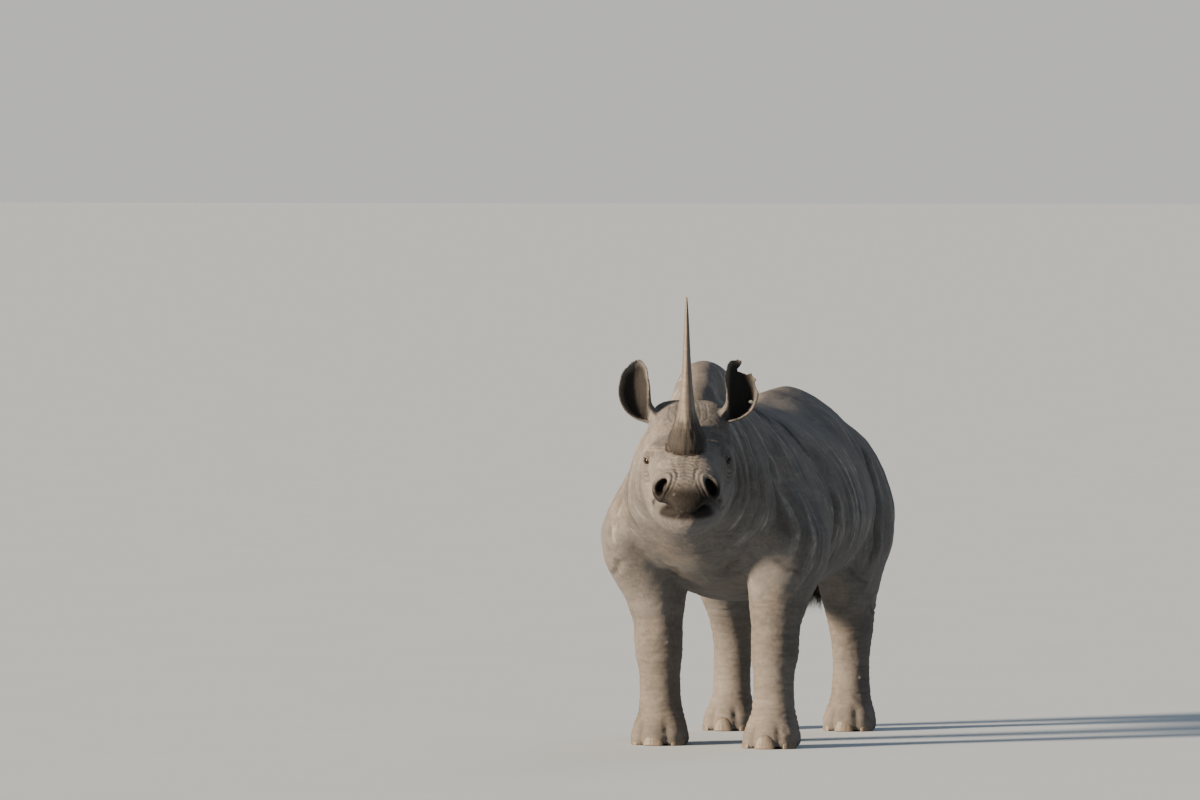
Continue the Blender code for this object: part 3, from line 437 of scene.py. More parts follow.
def legLoft(place, word, side):
    z, front, back, inner, outer, full = smoothRows(legs[place], 120).T
    across, along = ovals((outer - inner) / 2, (back - front) / 2, (back - front) / 2, full, full, 64)
    stride = legs["stride"][f"{place}_{word}"] * np.clip(1 - z / legs["strideTop"], 0, None)
    x = side * (inner + outer)[:, None] / 2 + across
    y = ((front + back) / 2 + stride)[:, None] + along
    return np.stack([x, y, np.broadcast_to(z[:, None], x.shape)], axis=-1)


# a round tail whose sections stand square to its run
def tailLoft():
    back, height, radius = smoothPath(trunk["tail"], 90).T
    wayY, wayZ = np.gradient(back), np.gradient(height)
    size = np.hypot(wayY, wayZ)
    turn = roundTurns(24)
    off = radius[:, None] * np.sin(turn)
    return np.stack([radius[:, None] * np.cos(turn), back[:, None] - off * (wayZ / size)[:, None],
                     height[:, None] + off * (wayY / size)[:, None]], axis=-1)


# ears
ear = {
    # root to tip: lateral, forward, up, radius of the cup, half angle that it wraps
    "spine": (
        (0.108, 0.050, 0.140, 0.030, 2.90), (0.150, 0.048, 0.166, 0.036, 2.60),
        (0.186, 0.046, 0.195, 0.052, 2.10), (0.206, 0.044, 0.228, 0.064, 1.75),
        (0.214, 0.040, 0.266, 0.068, 1.60),
    ),
    # the last rows of each: the torn left ear ends broader, rounder and further in
    "tips": {
        -1: (  # right
            (0.214, 0.032, 0.309, 0.063, 1.50), (0.206, 0.022, 0.351, 0.048, 1.35),
            (0.205, 0.014, 0.378, 0.027, 1.20), (0.206, 0.010, 0.389, 0.009, 1.00),
        ),
        1: (  # left
            (0.208, 0.032, 0.309, 0.068, 1.50), (0.198, 0.022, 0.351, 0.058, 1.35),
            (0.188, 0.014, 0.376, 0.038, 1.20), (0.186, 0.010, 0.389, 0.016, 1.00),
        ),
    },
    "wall": 0.010,  # thickness at the root
    "wallFall": 0.25,  # share of it lost at the tip
    "opens": (0.30, 1.0, 0.12),  # the way the cup faces
    "depth": 0.80,  # depth of the cup as a share of its width
    # the torn rim of the left ear, lateral and up
    "tear": (
        (0.330, 0.420), (0.222, 0.420), (0.216, 0.366), (0.194, 0.338), (0.234, 0.323), (0.254, 0.333),
        (0.257, 0.319), (0.274, 0.309), (0.266, 0.294), (0.277, 0.263), (0.330, 0.263),
    ),
    "hole": (0.252, 0.215, 0.0065),  # lateral, up and radius of the small hole in the left ear
    "holeStretch": 1.5,  # it is this much wider than high
    "cutSpan": (-0.15, 0.20),  # forward reach of the two prisms that tear and pierce it
    "cupFade": (0.10, 0.008, 0.036),  # the cup's painted shade: least value, and the distances it rises over
}


# outer and inner wall of an ear's cup, as grids of points of the head's frame
def earGrids(side, across=49, along=64):
    rows = smoothPath(ear["spine"] + ear["tips"][side], along)
    rows[:, 0] *= side
    spine = rows[:, :3]
    rise = np.gradient(spine, axis=0)
    rise /= np.linalg.norm(rise, axis=1)[:, None]
    faces = mirrored(ear["opens"], side)
    opens = faces - (rise @ faces)[:, None] * rise
    opens /= np.linalg.norm(opens, axis=1)[:, None]
    wide = np.cross(rise, opens)
    turn = np.linspace(-1, 1, across)[None, :] * rows[:, 4:5]
    grids = []
    for wall in (0.0, ear["wall"]):
        reach = rows[:, 3] - wall * (1 - ear["wallFall"] * np.linspace(0, 1, along))
        reach = np.maximum(reach, 0.003)[:, None]
        back = ear["depth"] * reach * (0.3 - np.cos(turn))
        grids.append(spine[:, None] + back[..., None] * opens[:, None]
                     + (reach * np.sin(turn))[..., None] * wide[:, None])
    return grids


# a closed cup: outer wall, inner wall turned round, and the strip of rim between their borders
def earParts(side):
    outer, inner = earGrids(side)
    rows, columns = outer.shape[:2]
    quads = gridQuads(rows, columns, closed=False)
    index = np.arange(rows * columns).reshape(rows, columns)
    border = np.concatenate([index[0, :-1], index[:-1, -1], index[-1, :0:-1], index[:0:-1, 0]])
    after = np.roll(border, -1)
    size = rows * columns
    rim = np.stack([after, border, border + size, after + size], axis=1)
    points = np.concatenate([outer.reshape(-1, 3), inner.reshape(-1, 3)])
    return fromHead(points), np.concatenate([quads, quads[:, ::-1] + size, rim])


# the left ear loses what lies in two upright prisms: the torn rim and the small hole
def tornEar():
    torn = makeObject("earLeftLoft", makeMesh("earLeftLoft", *earParts(1)))
    turn = np.linspace(0, 2 * math.pi, 12, endpoint=False)
    holeX, holeZ, radius = ear["hole"]
    wide = radius * ear["holeStretch"]
    hole = np.stack([holeX + wide * np.cos(turn), holeZ + radius * np.sin(turn)], axis=1)
    cutters = []
    for name, outline in (("tear", np.array(ear["tear"])), ("hole", hole)):
        rings = np.stack([np.insert(outline, 1, depth, axis=1) for depth in ear["cutSpan"]])
        parts = tubeParts(fromHead(rings))
        cutters.append(makeObject(name, makeMesh(name, *parts)))
        cut = torn.modifiers.new(name, "BOOLEAN")
        cut.object, cut.solver, cut.operation = cutters[-1], "EXACT", "DIFFERENCE"
    mesh = evaluated(torn)
    for cutter in cutters:
        bpy.data.objects.remove(cutter)
    mesh.calc_loop_triangles()
    corners = np.empty(len(mesh.loop_triangles) * 3, np.int32)
    mesh.loop_triangles.foreach_get("vertices", corners)
    return meshPoints(mesh), corners.reshape(-1, 3)


# one skin over all the lofts
skinMake = {
    "voxel": 0.0066,  # cell that fuses the lofts
    "headTimes": 1.85,  # the head is fused this much larger, so its cells are finer
    "growFrom": -0.98,  # where the enlargement starts and where it is full
    "growTo": -1.26,
    "growLevel": 1.20,
    "growSpan": (-2.4, 1.4),  # the stretch of y that the enlargement is worked out for
    "bodyRelax": 26,
    "headRelax": 9,
    "earRelax": 2,
    "triangles": 196000,
    "keepSteps": 6,  # levels of care with which the head and the folds are thinned
}
growY = np.linspace(*skinMake["growSpan"], 3801)
growTimes = 1 + (skinMake["headTimes"] - 1) * smoothStep(-growY, -skinMake["growFrom"], -skinMake["growTo"])
growReach = np.cumsum(growTimes) * (growY[1] - growY[0])
growReach += skinMake["growSpan"][1] - growReach[-1]


# the head is enlarged about the neck's level, and y is stretched along with it
def enlarge(points):
    grown = np.interp(points[:, 1], growY, growTimes)
    level = skinMake["growLevel"]
    return np.stack([points[:, 0] * grown, np.interp(points[:, 1], growY, growReach),
                     level + (points[:, 2] - level) * grown], axis=1)


def shrink(points):
    y = np.interp(points[:, 1], growReach, growY)
    grown = np.interp(y, growY, growTimes)
    level = skinMake["growLevel"]
    return np.stack([points[:, 0] / grown, y, level + (points[:, 2] - level) / grown], axis=1)


def fuseFlesh():
    parts = [tubeParts(sectionLoft(trunk[k])) for k in ("barrel", "hump")]
    parts += [tubeParts(fromHead(sectionLoft(head[k]))) for k in ("skull", "jaw", "cheek", "lip")]
    parts += [tubeParts(legLoft(*foot)) for foot in feet]
    parts += [tubeParts(tailLoft()), earParts(-1), tornEar()]
    parts = [(enlarge(part[0]), *part[1:]) for part in parts]
    body = makeObject("fuse", makeMesh("fuse", *joinParts(parts), outward=False))
    fuse = body.modifiers.new("fuse", "REMESH")
    fuse.mode, fuse.voxel_size = "VOXEL", skinMake["voxel"]
    mesh = evaluated(body)
    quads = np.empty(len(mesh.loops), np.int32)
    mesh.loops.foreach_get("vertex_index", quads)
    points, quads = meshPoints(mesh), quads.reshape(-1, 4)
    edges = edgesOf(quads)
    inHead = toHead(shrink(points))
    isHead = smoothStep(inHead[:, 1], -0.12, 0.0)
    isEar = smoothStep(np.abs(inHead[:, 0]), 0.150, 0.175) * smoothStep(inHead[:, 2], 0.13, 0.17) * isHead
    share = 0.5 * np.ones(len(points))
    points = relax(points, edges, skinMake["earRelax"], share)
    points = relax(points, edges, skinMake["headRelax"] - skinMake["earRelax"], share * (1 - isEar))
    rest = skinMake["bodyRelax"] - skinMake["headRelax"]
    points = relax(points, edges, rest, share * (1 - isHead) * (1 - isEar))
    return shrink(points), quads, edges


skinPoints, skinQuads, skinEdges = fuseFlesh()
print("flesh fused:", len(skinQuads), "quads")


# relief of the skin
relief = {
    # centre, radii and height of soft bulges (or hollows) of the body, on both sides
    "bodyBulges": (
        ((0.33, -0.62, 1.15), (0.20, 0.14, 0.22), 0.010),  # shoulder blade
        ((0.30, -0.88, 0.92), (0.14, 0.10, 0.12), 0.012),  # point of the shoulder
        ((0.45, -0.52, 0.84), (0.12, 0.13, 0.13), 0.008),  # upper arm
        ((0.42, -0.33, 1.05), (0.14, 0.06, 0.22), -0.010),  # hollow behind the shoulder
        ((0.28, 0.33, 1.30), (0.11, 0.08, 0.08), 0.014),  # hip
        ((0.42, 0.66, 0.95), (0.12, 0.17, 0.22), 0.012),  # thigh
        ((0.38, 0.38, 1.18), (0.15, 0.08, 0.12), -0.013),  # flank hollow
        ((0.17, 0.86, 1.12), (0.12, 0.09, 0.14), 0.010),  # seat
        ((0.0, 0.10, 1.40), (0.05, 0.55, 0.08), 0.007),  # back bone
        ((0.0, -0.88, 0.80), (0.12, 0.12, 0.12), 0.010),  # brisket
        ((0.25, -0.70, 0.43), (0.07, 0.05, 0.06), 0.007),  # knee
        ((0.245, 0.75, 0.49), (0.05, 0.05, 0.06), 0.009),  # hock
    ),
    # the same on the head: lateral, forward, up
    "headBulges": (
        ((0.145, 0.290, 0.108), (0.040, 0.060, 0.022), 0.007),  # brow
        ((0.180, 0.225, 0.000), (0.030, 0.080, 0.026), 0.006),  # cheek bone
        ((0.170, 0.130, -0.130), (0.040, 0.080, 0.070), 0.006),  # jaw muscle
        ((0.165, 0.165, 0.095), (0.030, 0.050, 0.030), -0.008),  # temple
        ((0.150, 0.450, 0.015), (0.030, 0.060, 0.045), -0.008),  # between eye and nostril
        ((0.160, 0.355, -0.010), (0.030, 0.035, 0.020), -0.004),  # tear trough
        ((0.000, 0.410, 0.135), (0.110, 0.125, 0.030), 0.004),  # boss of the front horn
        ((0.000, 0.620, -0.165), (0.050, 0.035, 0.025), 0.005),  # chin
    ),
    # y and z seen from the side: width, depth, raised edge, points
    "bodyFolds": (
        (0.015, 0.017, 0.005, ((-0.325, 1.08), (-0.32, 1.01), (-0.36, 0.92), (-0.372, 0.83), (-0.33, 0.73),
                               (-0.28, 0.65))),
        (0.010, 0.013, 0.003, ((-0.335, 1.34), (-0.36, 1.26), (-0.355, 1.18))),
        (0.009, 0.004, 0.001, ((-0.24, 0.96), (-0.27, 0.85), (-0.25, 0.74), (-0.20, 0.66))),
        (0.018, 0.015, 0.004, ((0.53, 1.24), (0.46, 1.10), (0.425, 0.96), (0.41, 0.82), (0.38, 0.68))),
        (0.010, 0.003, 0.001, ((0.36, 0.98), (0.335, 0.85), (0.31, 0.72))),
        (0.016, 0.0018, 0, ((-0.12, 1.12), (-0.14, 1.00), (-0.12, 0.86), (-0.08, 0.74))),
        (0.018, 0.0018, 0, ((0.00, 1.14), (-0.01, 1.02), (0.01, 0.88), (0.04, 0.74))),
        (0.017, 0.0018, 0, ((0.12, 1.12), (0.11, 1.00), (0.13, 0.90), (0.15, 0.76))),
        (0.018, 0.006, 0.002, ((0.86, 1.06), (0.82, 0.94), (0.77, 0.82), (0.70, 0.72))),
        (0.017, 0.007, 0.003, ((-0.90, 1.47), (-0.94, 1.30), (-0.975, 1.12), (-0.98, 0.98), (-0.94, 0.85))),
        (0.014, 0.0045, 0.002, ((-1.02, 1.42), (-1.06, 1.26), (-1.08, 1.10), (-1.07, 0.93))),
        (0.013, 0.004, 0.0015, ((-1.13, 1.38), (-1.155, 1.25), (-1.165, 1.12), (-1.15, 0.98))),
        (0.014, 0.005, 0.002, ((-0.79, 1.22), (-0.85, 1.09), (-0.865, 0.95), (-0.83, 0.83))),
        (0.008, 0.006, 0.002, ((-0.46, 0.80), (-0.42, 0.74), (-0.39, 0.67))),
        (0.008, 0.006, 0.002, ((-0.52, 0.72), (-0.46, 0.67), (-0.42, 0.61))),
        (0.007, 0.005, 0.002, ((-0.84, 0.78), (-0.76, 0.72), (-0.69, 0.70))),
        (0.008, 0.005, 0.002, ((0.26, 0.70), (0.36, 0.64), (0.45, 0.62))),
        (0.008, 0.006, 0.002, ((0.52, 0.53), (0.60, 0.50), (0.69, 0.51))),
        (0.011, 0.012, 0.004, ((-0.61, 1.50), (-0.587, 1.47), (-0.54, 1.44), (-0.50, 1.38), (-0.48, 1.30))),
        (0.010, 0.008, 0.003, ((-0.67, 1.47), (-0.645, 1.44), (-0.60, 1.40), (-0.56, 1.33))),
        (0.011, 0.003, 0.001, ((-0.60, 1.34), (-0.66, 1.22), (-0.70, 1.08))),
        (0.010, 0.003, 0.001, ((-0.50, 1.32), (-0.55, 1.18), (-0.57, 1.04), (-0.55, 0.94))),
    ),
    # forward and up seen from the side of the head
    "headFolds": (
        (0.014, 0.0055, 0.002, ((0.00, -0.25), (-0.015, -0.12), (-0.01, 0.00), (0.01, 0.09))),
        (0.014, 0.0045, 0.002, ((-0.065, -0.27), (-0.08, -0.12), (-0.075, 0.00), (-0.05, 0.11))),
        (0.007, 0.006, 0.002, ((0.20, 0.02), (0.235, -0.05), (0.31, -0.095), (0.41, -0.11), (0.48, -0.10))),
        (0.005, 0.008, 0.002, ((0.500, -0.050), (0.485, -0.085), (0.475, -0.130))),
        (0.004, 0.004, 0.001, ((0.472, -0.040), (0.452, -0.080), (0.448, -0.125))),
        (0.006, 0.005, 0.002, ((0.080, 0.120), (0.105, 0.050), (0.095, -0.020), (0.070, -0.090))),
        (0.005, 0.004, 0.001, ((0.130, 0.110), (0.155, 0.040), (0.150, -0.030))),
        (0.005, 0.004, 0.001, ((0.420, 0.060), (0.455, 0.010), (0.475, -0.040))),
        (0.004, 0.003, 0.001, ((0.450, 0.085), (0.490, 0.035), (0.508, -0.020))),
        (0.0035, 0.0040, 0.001, arc((0.315, 0.052), (0.042, 0.034), -160, -8)),
        (0.0040, 0.0045, 0.001, arc((0.315, 0.052), (0.056, 0.048), -150, -5)),
        (0.0045, 0.0040, 0.001, arc((0.315, 0.052), (0.073, 0.065), -140, -12)),
        (0.0050, 0.0030, 0.001, arc((0.315, 0.052), (0.092, 0.084), -125, -25)),
        (0.0040, 0.0040, 0.001, arc((0.315, 0.052), (0.041, 0.032), 15, 165)),
        (0.0040, 0.0030, 0.001, arc((0.315, 0.052), (0.056, 0.046), 25, 150)),
        (0.0050, 0.0040, 0.001, arc((0.050, 0.150), (0.058, 0.042), 190, 350)),
        (0.0060, 0.0035, 0.001, arc((0.050, 0.150), (0.078, 0.060), 200, 340)),
    ),
    # lateral and forward seen from above the face: cross wrinkles of the nose, then lines of the forehead
    "noseWrinkles": {"from": 0.518, "to": 0.645, "count": 9, "reach": 0.072, "bow": 0.013,
                     "width": 0.0030, "depth": 0.0038},
    "browLines": {"at": (0.018, 0.042, 0.068), "from": 0.03, "to": 0.175, "width": 0.0032, "depth": 0.0018},
    # closed line of the lips: lateral, forward, up
    "lips": ((0.000, 0.690, -0.060), (0.040, 0.684, -0.055), (0.075, 0.664, -0.047), (0.104, 0.632, -0.045),
             (0.124, 0.592, -0.051), (0.137, 0.545, -0.062), (0.146, 0.500, -0.076)),
    "lipGroove": (0.0055, 0.011),  # width and depth
    # foot of each horn on the face: forward, half across, half fore and aft
    "hornFeet": ((0.414, 0.072, 0.096), (0.242, 0.058, 0.064)),
    # rings of the legs: place, height, width, depth
    "legRings": (
        ("front", 0.525, 0.009, 0.003), ("front", 0.497, 0.009, 0.003), ("front", 0.405, 0.008, 0.002),
        ("front", 0.380, 0.006, 0.003), ("front", 0.160, 0.007, 0.005), ("front", 0.138, 0.006, 0.005),
        ("front", 0.118, 0.005, 0.004), ("hind", 0.470, 0.009, 0.003), ("hind", 0.440, 0.008, 0.002),
        ("hind", 0.155, 0.007, 0.005), ("hind", 0.133, 0.006, 0.005), ("hind", 0.113, 0.005, 0.004),
    ),
}
nostril = {
    "at": (0.096, 0.619, 0.029),
    "way": (0.55, 0.80, 0.10),
    "halfWide": 0.0265,
    "halfHigh": 0.0385,
    "lean": 14,  # degrees, top inward
    "deep": 0.040,
    "rim": 0.0055,
    "pit": (0.50, 1.02),  # where the pit's wall starts and ends, as shares of the opening
    "dark": (0.72, 1.12),  # where its painted shade fades
    "rimRing": (1.32, 0.26),  # where the raised rim runs and how wide it is
    "arcs": ((0.042, 0.056, 0.0034), (0.057, 0.071, 0.0020)),  # radii and depth
    "arcSpan": (-35, 215),  # degrees
    "arcWidth": 0.0036,
}
nails = {
    # name, angle from the foot's front, half spread and height
    "toes": (("middle", 0.0, 0.36, 0.062), ("right", -0.98, 0.30, 0.048), ("left", 0.98, 0.30, 0.048)),
    "depth": 0.030,
    "proud": 0.007,
    "swell": 0.006,  # bulge of the foot over each toe
    "cuticle": 0.003,
    "clefts": (-0.50, 0.50),  # where the foot is parted, in radians from its front
    "cleftDepth": 0.006,
}


# distance of each point to a path of the same coordinates, the share of the way along, and its side
def pathDistance(points, path):
    lengths = np.linalg.norm(np.diff(path, axis=0), axis=1)
    along = np.concatenate([[0], np.cumsum(lengths)])
    best, share, side = np.full(len(points), 1e9), np.zeros(len(points)), np.zeros(len(points))
    for n, (a, b) in enumerate(zip(path, path[1:])):
        run = b - a
        t = np.clip(((points - a) @ run) / (run @ run), 0, 1)
        off = points - a - t[:, None] * run
        far = np.linalg.norm(off, axis=1)
        near = far < best
        best = np.where(near, far, best)
        share = np.where(near, (along[n] + t * lengths[n]) / along[-1], share)
        side = np.where(near, run[0] * off[:, -1] - run[-1] * off[:, 0], side)
    return best, share, side


# a mark of the skin keeps the larger of its old and new values
def mark(state, name, values):
    state[name] = np.maximum(state[name], values)


# a groove along a path, with soft shoulders, one raised edge and faded ends, and painted shade along the
# groove
def addFold(state, flat, mask, path, width, depth, edge=0.0):
    path = smoothPath(path)
    reach = 5 * width
    inside = (mask > 0.02) & np.all((flat > path.min(0) - reach) & (flat < path.max(0) + reach), axis=1)
    near = np.nonzero(inside)[0]
    if not len(near):
        return
    far, share, side = pathDistance(flat[near], path)
    fade = smoothStep(share, 0, 0.15) * smoothStep(1 - share, 0, 0.15) * mask[near]
    groove = bell(far, width)
    shoulder = bell(far - 2.2 * width, 1.2 * width)
    state["height"][near] += fade * (-depth * groove + (0.25 * depth + edge * (side > 0)) * shoulder)
    # painted shade along the groove, darker in deeper grooves
    state["fold"][near] = np.maximum(state["fold"][near], fade * groove * min(1.0, depth / 0.006))


def addBulges(state, points, bulges):
    for (x, y, z), radii, amount in bulges:
        for side in ((1, -1) if x else (1,)):
            off = (points - (side * x, y, z)) / radii
            state["height"] += amount * np.exp(-(off**2).sum(1))


def withoutStride(points):
    rest = points.copy()
    low = np.clip(1 - points[:, 2] / legs["strideTop"], 0, None)
    for place, word, side in feet:
        of = (points[:, 0] * side > 0) & ((points[:, 1] < -0.1) == (place == "front"))
        rest[of, 1] -= legs["stride"][f"{place}_{word}"] * low[of]
    return rest


def bodyRelief(state, rest, normal):
    addBulges(state, rest, relief["bodyBulges"])
    warp = hillPair(rest, 0.11, 3) * 0.011
    warp += hillPair(rest, 0.03, 5) * 0.003
    ahead = 1 - smoothStep(state["inHead"][:, 1], -0.15, -0.06)
    for _, side in sides:
        mask = smoothStep(normal[:, 0] * side, -0.20, 0.12) * (rest[:, 0] * side > -0.01) * ahead
        for width, depth, edge, path in relief["bodyFolds"]:
            addFold(state, rest[:, 1:] + warp * (1 + 0.3 * side), mask, path, width, depth, edge)
    isLeg = (rest[:, 2] < 0.60) & (np.abs(rest[:, 0]) > 0.10)
    for place, level, width, depth in relief["legRings"]:
        of = isLeg & ((rest[:, 1] < -0.1) == (place == "front"))
        far = rest[:, 2] - level + 0.012 * hills(rest, 0.09, 9)
        ring = of * bell(far, width) * (0.55 + 0.45 * hills(rest, 0.10, 10))
        state["height"] -= depth * ring
        # painted shade in the rings of the legs
        mark(state, "fold", 0.7 * np.clip(ring, 0, 1))


# nearness to each toe makes a bulge over it and a cleft between, with painted shade in each cleft
def footRelief(state, rest):
    for place, _, side in feet:
        _, front, back, inner, outer, _ = legs[place][-2]
        x = (rest[:, 0] - side * (inner + outer) / 2) / ((outer - inner) / 2)
        y = (rest[:, 1] - (front + back) / 2) / ((back - front) / 2)
        turn = np.arctan2(x, -y)
        of = (np.hypot(x, y) < 1.5) * (1 - smoothStep(rest[:, 2], 0.07, 0.13))
        for _, at, spread, tall in nails["toes"]:
            state["height"] += nails["swell"] * of * bell(turn - at, spread * 1.05)
            cuticle = bell(rest[:, 2] - tall * 1.13, 0.007) * (np.abs(turn - at) < spread)
            state["height"] += nails["cuticle"] * of * cuticle
        for at in nails["clefts"]:
            cleft = of * bell(turn - at, 0.10)
            state["height"] -= nails["cleftDepth"] * cleft
            mark(state, "fold", 0.8 * cleft)


def nostrilFrame(side):
    way = mirrored(nostril["way"], side)
    way /= np.linalg.norm(way)
    across = np.cross(way, (0, 0, 1.0))
    across /= np.linalg.norm(across)
    up = np.cross(across, way)
    lean = math.radians(nostril["lean"]) * side * np.sign(across[0])
    turned = across * math.cos(lean) + up * math.sin(lean)
    return mirrored(nostril["at"], side), way, turned, np.cross(turned, way)


# a pit along the nostril's own way, with painted shade inside it, a raised rim and arched folds over it
def nostrilRelief(state, inHead, normal):
    for _, side in sides:
        centre, way, across, up = nostrilFrame(side)
        off = inHead - centre
        a, b, c = off @ across, off @ up, off @ way
        mask = (np.abs(c) < 0.075) * smoothStep(normal @ way, -0.15, 0.15) * (inHead[:, 0] * side > 0)
        far = np.hypot(a / nostril["halfWide"], b / nostril["halfHigh"])
        pit = mask * (1 - smoothStep(far, *nostril["pit"]))
        state["push"] -= (nostril["deep"] * pit)[:, None] * way
        ring, wide = nostril["rimRing"]
        state["height"] += nostril["rim"] * mask * bell(far - ring, wide)
        # painted shade inside the nostril
        mark(state, "pit", mask * (1 - smoothStep(far, *nostril["dark"])))
        for wide, high, depth in nostril["arcs"]:
            path = arc((0.0, 0.0), (wide, high), *nostril["arcSpan"], 13)
            addFold(state, np.stack([a, b], axis=1), mask, path, nostril["arcWidth"], depth)


def eyeFrame(side):
    gaze = mirrored(eye["gaze"], side)
    gaze /= np.linalg.norm(gaze)
    tilt = math.radians(eye["tilt"])
    along = np.array((0.0, math.cos(tilt), math.sin(tilt)))
    along -= (along @ gaze) * gaze
    along /= np.linalg.norm(along)
    up = np.cross(gaze, along)
    return mirrored(eye["at"], side), gaze, along, up * np.sign(up[2])


# the skin rises to the foot of each horn, more at the sides, and creases where it meets the fibres, with
# painted shade in the crease
def hornRelief(state, inHead):
    for forward, across, fore in relief["hornFeet"]:
        turn = np.arctan2(inHead[:, 0], inHead[:, 1] - forward)
        far = np.hypot(inHead[:, 0] / across, (inHead[:, 1] - forward) / fore)
        far = (far + 0.05 * np.sin(5 * turn + 1.3) + 0.035 * np.sin(11 * turn + 0.4)
               + 0.02 * np.sin(23 * turn))
        above = smoothStep(inHead[:, 2], 0.04, 0.08)
        rise = (0.004 + 0.010 * np.sin(turn) ** 2) * (1 - smoothStep(far, 0.90, 1.30)) * above
        state["push"] += rise[:, None] * (0, 0, 1)
        mark(state, "fold", 0.7 * bell(far - 1.03, 0.07) * above)


def eyeRelief(state, inHead):
    (depth, wide), (rise, ring, ringWide), (line, lineWide) = eye["socket"], eye["swell"], eye["creaseShade"]
    for _, side in sides:
        centre, gaze, along, up = eyeFrame(side)
        off = inHead - centre
        far = np.hypot(off @ along, 1.25 * (off @ up))
        mask = (off @ gaze > -0.02) * (np.abs(off @ gaze) < 0.06)
        state["push"] -= (depth * mask * bell(far, wide))[:, None] * gaze
        state["height"] += rise * mask * bell(far - ring, ringWide)
        # painted shade along the crease round the eye
        mark(state, "fold", 0.8 * mask * bell(far - line, lineWide))


def headRelief(state, inHead, normal):
    addBulges(state, inHead, relief["headBulges"])
    warp = hillPair(inHead, 0.045, 13) * 0.0040
    warp += hillPair(inHead, 0.014, 15) * 0.0012
    isHead = smoothStep(inHead[:, 1], -0.13, -0.08) * (1 - state["ear"])
    for _, side in sides:
        mask = smoothStep(normal[:, 0] * side, -0.05, 0.25) * (inHead[:, 0] * side > 0) * isHead
        for width, depth, edge, path in relief["headFolds"]:
            addFold(state, inHead[:, 1:] + warp * (1 + 0.2 * side), mask, path, width, depth, edge)
    nose = relief["noseWrinkles"]
    over = smoothStep(normal[:, 2], 0.05, 0.3) * isHead * (inHead[:, 2] > -0.03)
    for n, at in enumerate(np.linspace(nose["from"], nose["to"], nose["count"])):
        reach, bow = nose["reach"] * (1 - 0.06 * n), nose["bow"]
        path = [(-reach, at - bow), (-reach / 2, at + bow * 0.2), (0, at), (reach / 2, at + bow * 0.2),
                (reach, at - bow)]
        addFold(state, inHead[:, :2] + warp, over, path, nose["width"], nose["depth"])
    lines = relief["browLines"]
    for n, at in enumerate(lines["at"]):
        for side in (1, -1):
            path = [(side * at, lines["from"]), (side * at * 1.15, (lines["from"] + lines["to"]) / 2),
                    (side * at * 0.9, lines["to"] - 0.02 * n)]
            addFold(state, inHead[:, :2] + warp, over, path, lines["width"], lines["depth"])
    half = smoothPath(relief["lips"], 20)
    path = np.concatenate([half[:0:-1] * (-1, 1, 1), half])
    far = pathDistance(inHead, path)[0]
    width, depth = relief["lipGroove"]
    ends = 1 - smoothStep(np.abs(inHead[:, 0]), 0.138, 0.150)
    groove = bell(far, width) * ends
    under = inHead[:, 2] < np.interp(inHead[:, 1], half[::-1, 1], half[::-1, 2])
    puff = bell(far - 0.016, 0.009) * isHead
    state["height"] += -depth * groove + puff * np.where(under, 0.002, 0.005)
    # painted shade along the groove of the lips
    mark(state, "fold", groove)
    creases = wrinkles(inHead, (0.010, 0.010, 0.05), 0.16, 21) * bell(far, 0.030) * isHead
    state["height"] -= 0.0013 * creases
    # the muzzle's dark mark, between the nostrils and down to the mouth: a real stain of wet mud and food,
    # with painted shade over it
    muzzleStainAndShade = smoothStep(inHead[:, 1], 0.55, 0.62) * (1 - smoothStep(inHead[:, 2], 0.015, 0.070))
    muzzleStainAndShade *= smoothStep(inHead[:, 2], -0.105, -0.080)
    # the lip mark: round the lip groove and over the muzzle, real stain and painted shade
    state["lip"] = np.maximum(bell(far, 0.024), muzzleStainAndShade)


# fine unevenness: uneven hide all over, upright wrinkles on the sides, level ones on the legs, each with
# faint painted shade
def fineRelief(state, rest, normal):
    side = smoothStep(np.abs(normal[:, 0]), 0.25, 0.8) * (1 - state["head"])
    leg = (1 - smoothStep(rest[:, 2], 0.55, 0.80)) * (1 - state["head"]) * (np.abs(rest[:, 0]) > 0.08)
    ribs = smoothStep(rest[:, 1], -0.30, -0.20) * (1 - smoothStep(rest[:, 1], 0.15, 0.28))
    ribs *= smoothStep(rest[:, 2], 0.68, 0.80) * (1 - smoothStep(rest[:, 2], 1.18, 1.32)) * side
    lean = rest[:, 1] + 0.10 * (rest[:, 2] - 1) + 0.012 * hills(rest, 0.2, 30)
    wave = np.sin(2 * math.pi * lean / 0.072)
    soft = 1 - 0.7 * state["head"]
    state["height"] += 0.0035 * hills(rest, 0.16, 31) * soft + 0.0016 * hills(rest, 0.055, 32) * soft
    state["height"] += 0.0018 * ribs * wave * (0.6 + 0.4 * hills(rest, 0.15, 33))
    neck = smoothStep(-rest[:, 1], 0.55, 0.80) * (1 - state["head"])
    upright = wrinkles(rest, (0.5, 0.045, 0.26), 0.09, 34) * side
    level = wrinkles(rest, (0.12, 0.12, 0.024), 0.14, 35) * leg
    net = wrinkles(rest, (0.045, 0.045, 0.060), 0.10, 36) * (1 - state["head"])
    fine = wrinkles(state["inHead"], (0.020, 0.024, 0.018), 0.13, 37) * state["head"] * (1 - state["ear"])
    state["height"] -= upright * (0.0008 + 0.0012 * neck) + 0.0022 * level + 0.0009 * net + 0.0011 * fine
    veins = wrinkles(state["inHead"], (0.012, 0.03, 0.10), 0.16, 38) * state["ear"]
    state["height"] -= 0.0010 * veins
    # faint painted shade along the wrinkles and nets of the hide (light here means faint)
    light = np.maximum.reduce([0.40 * upright * (0.35 + 0.65 * neck), 0.5 * level, 0.35 * fine, 0.25 * net])
    mark(state, "fold", light)


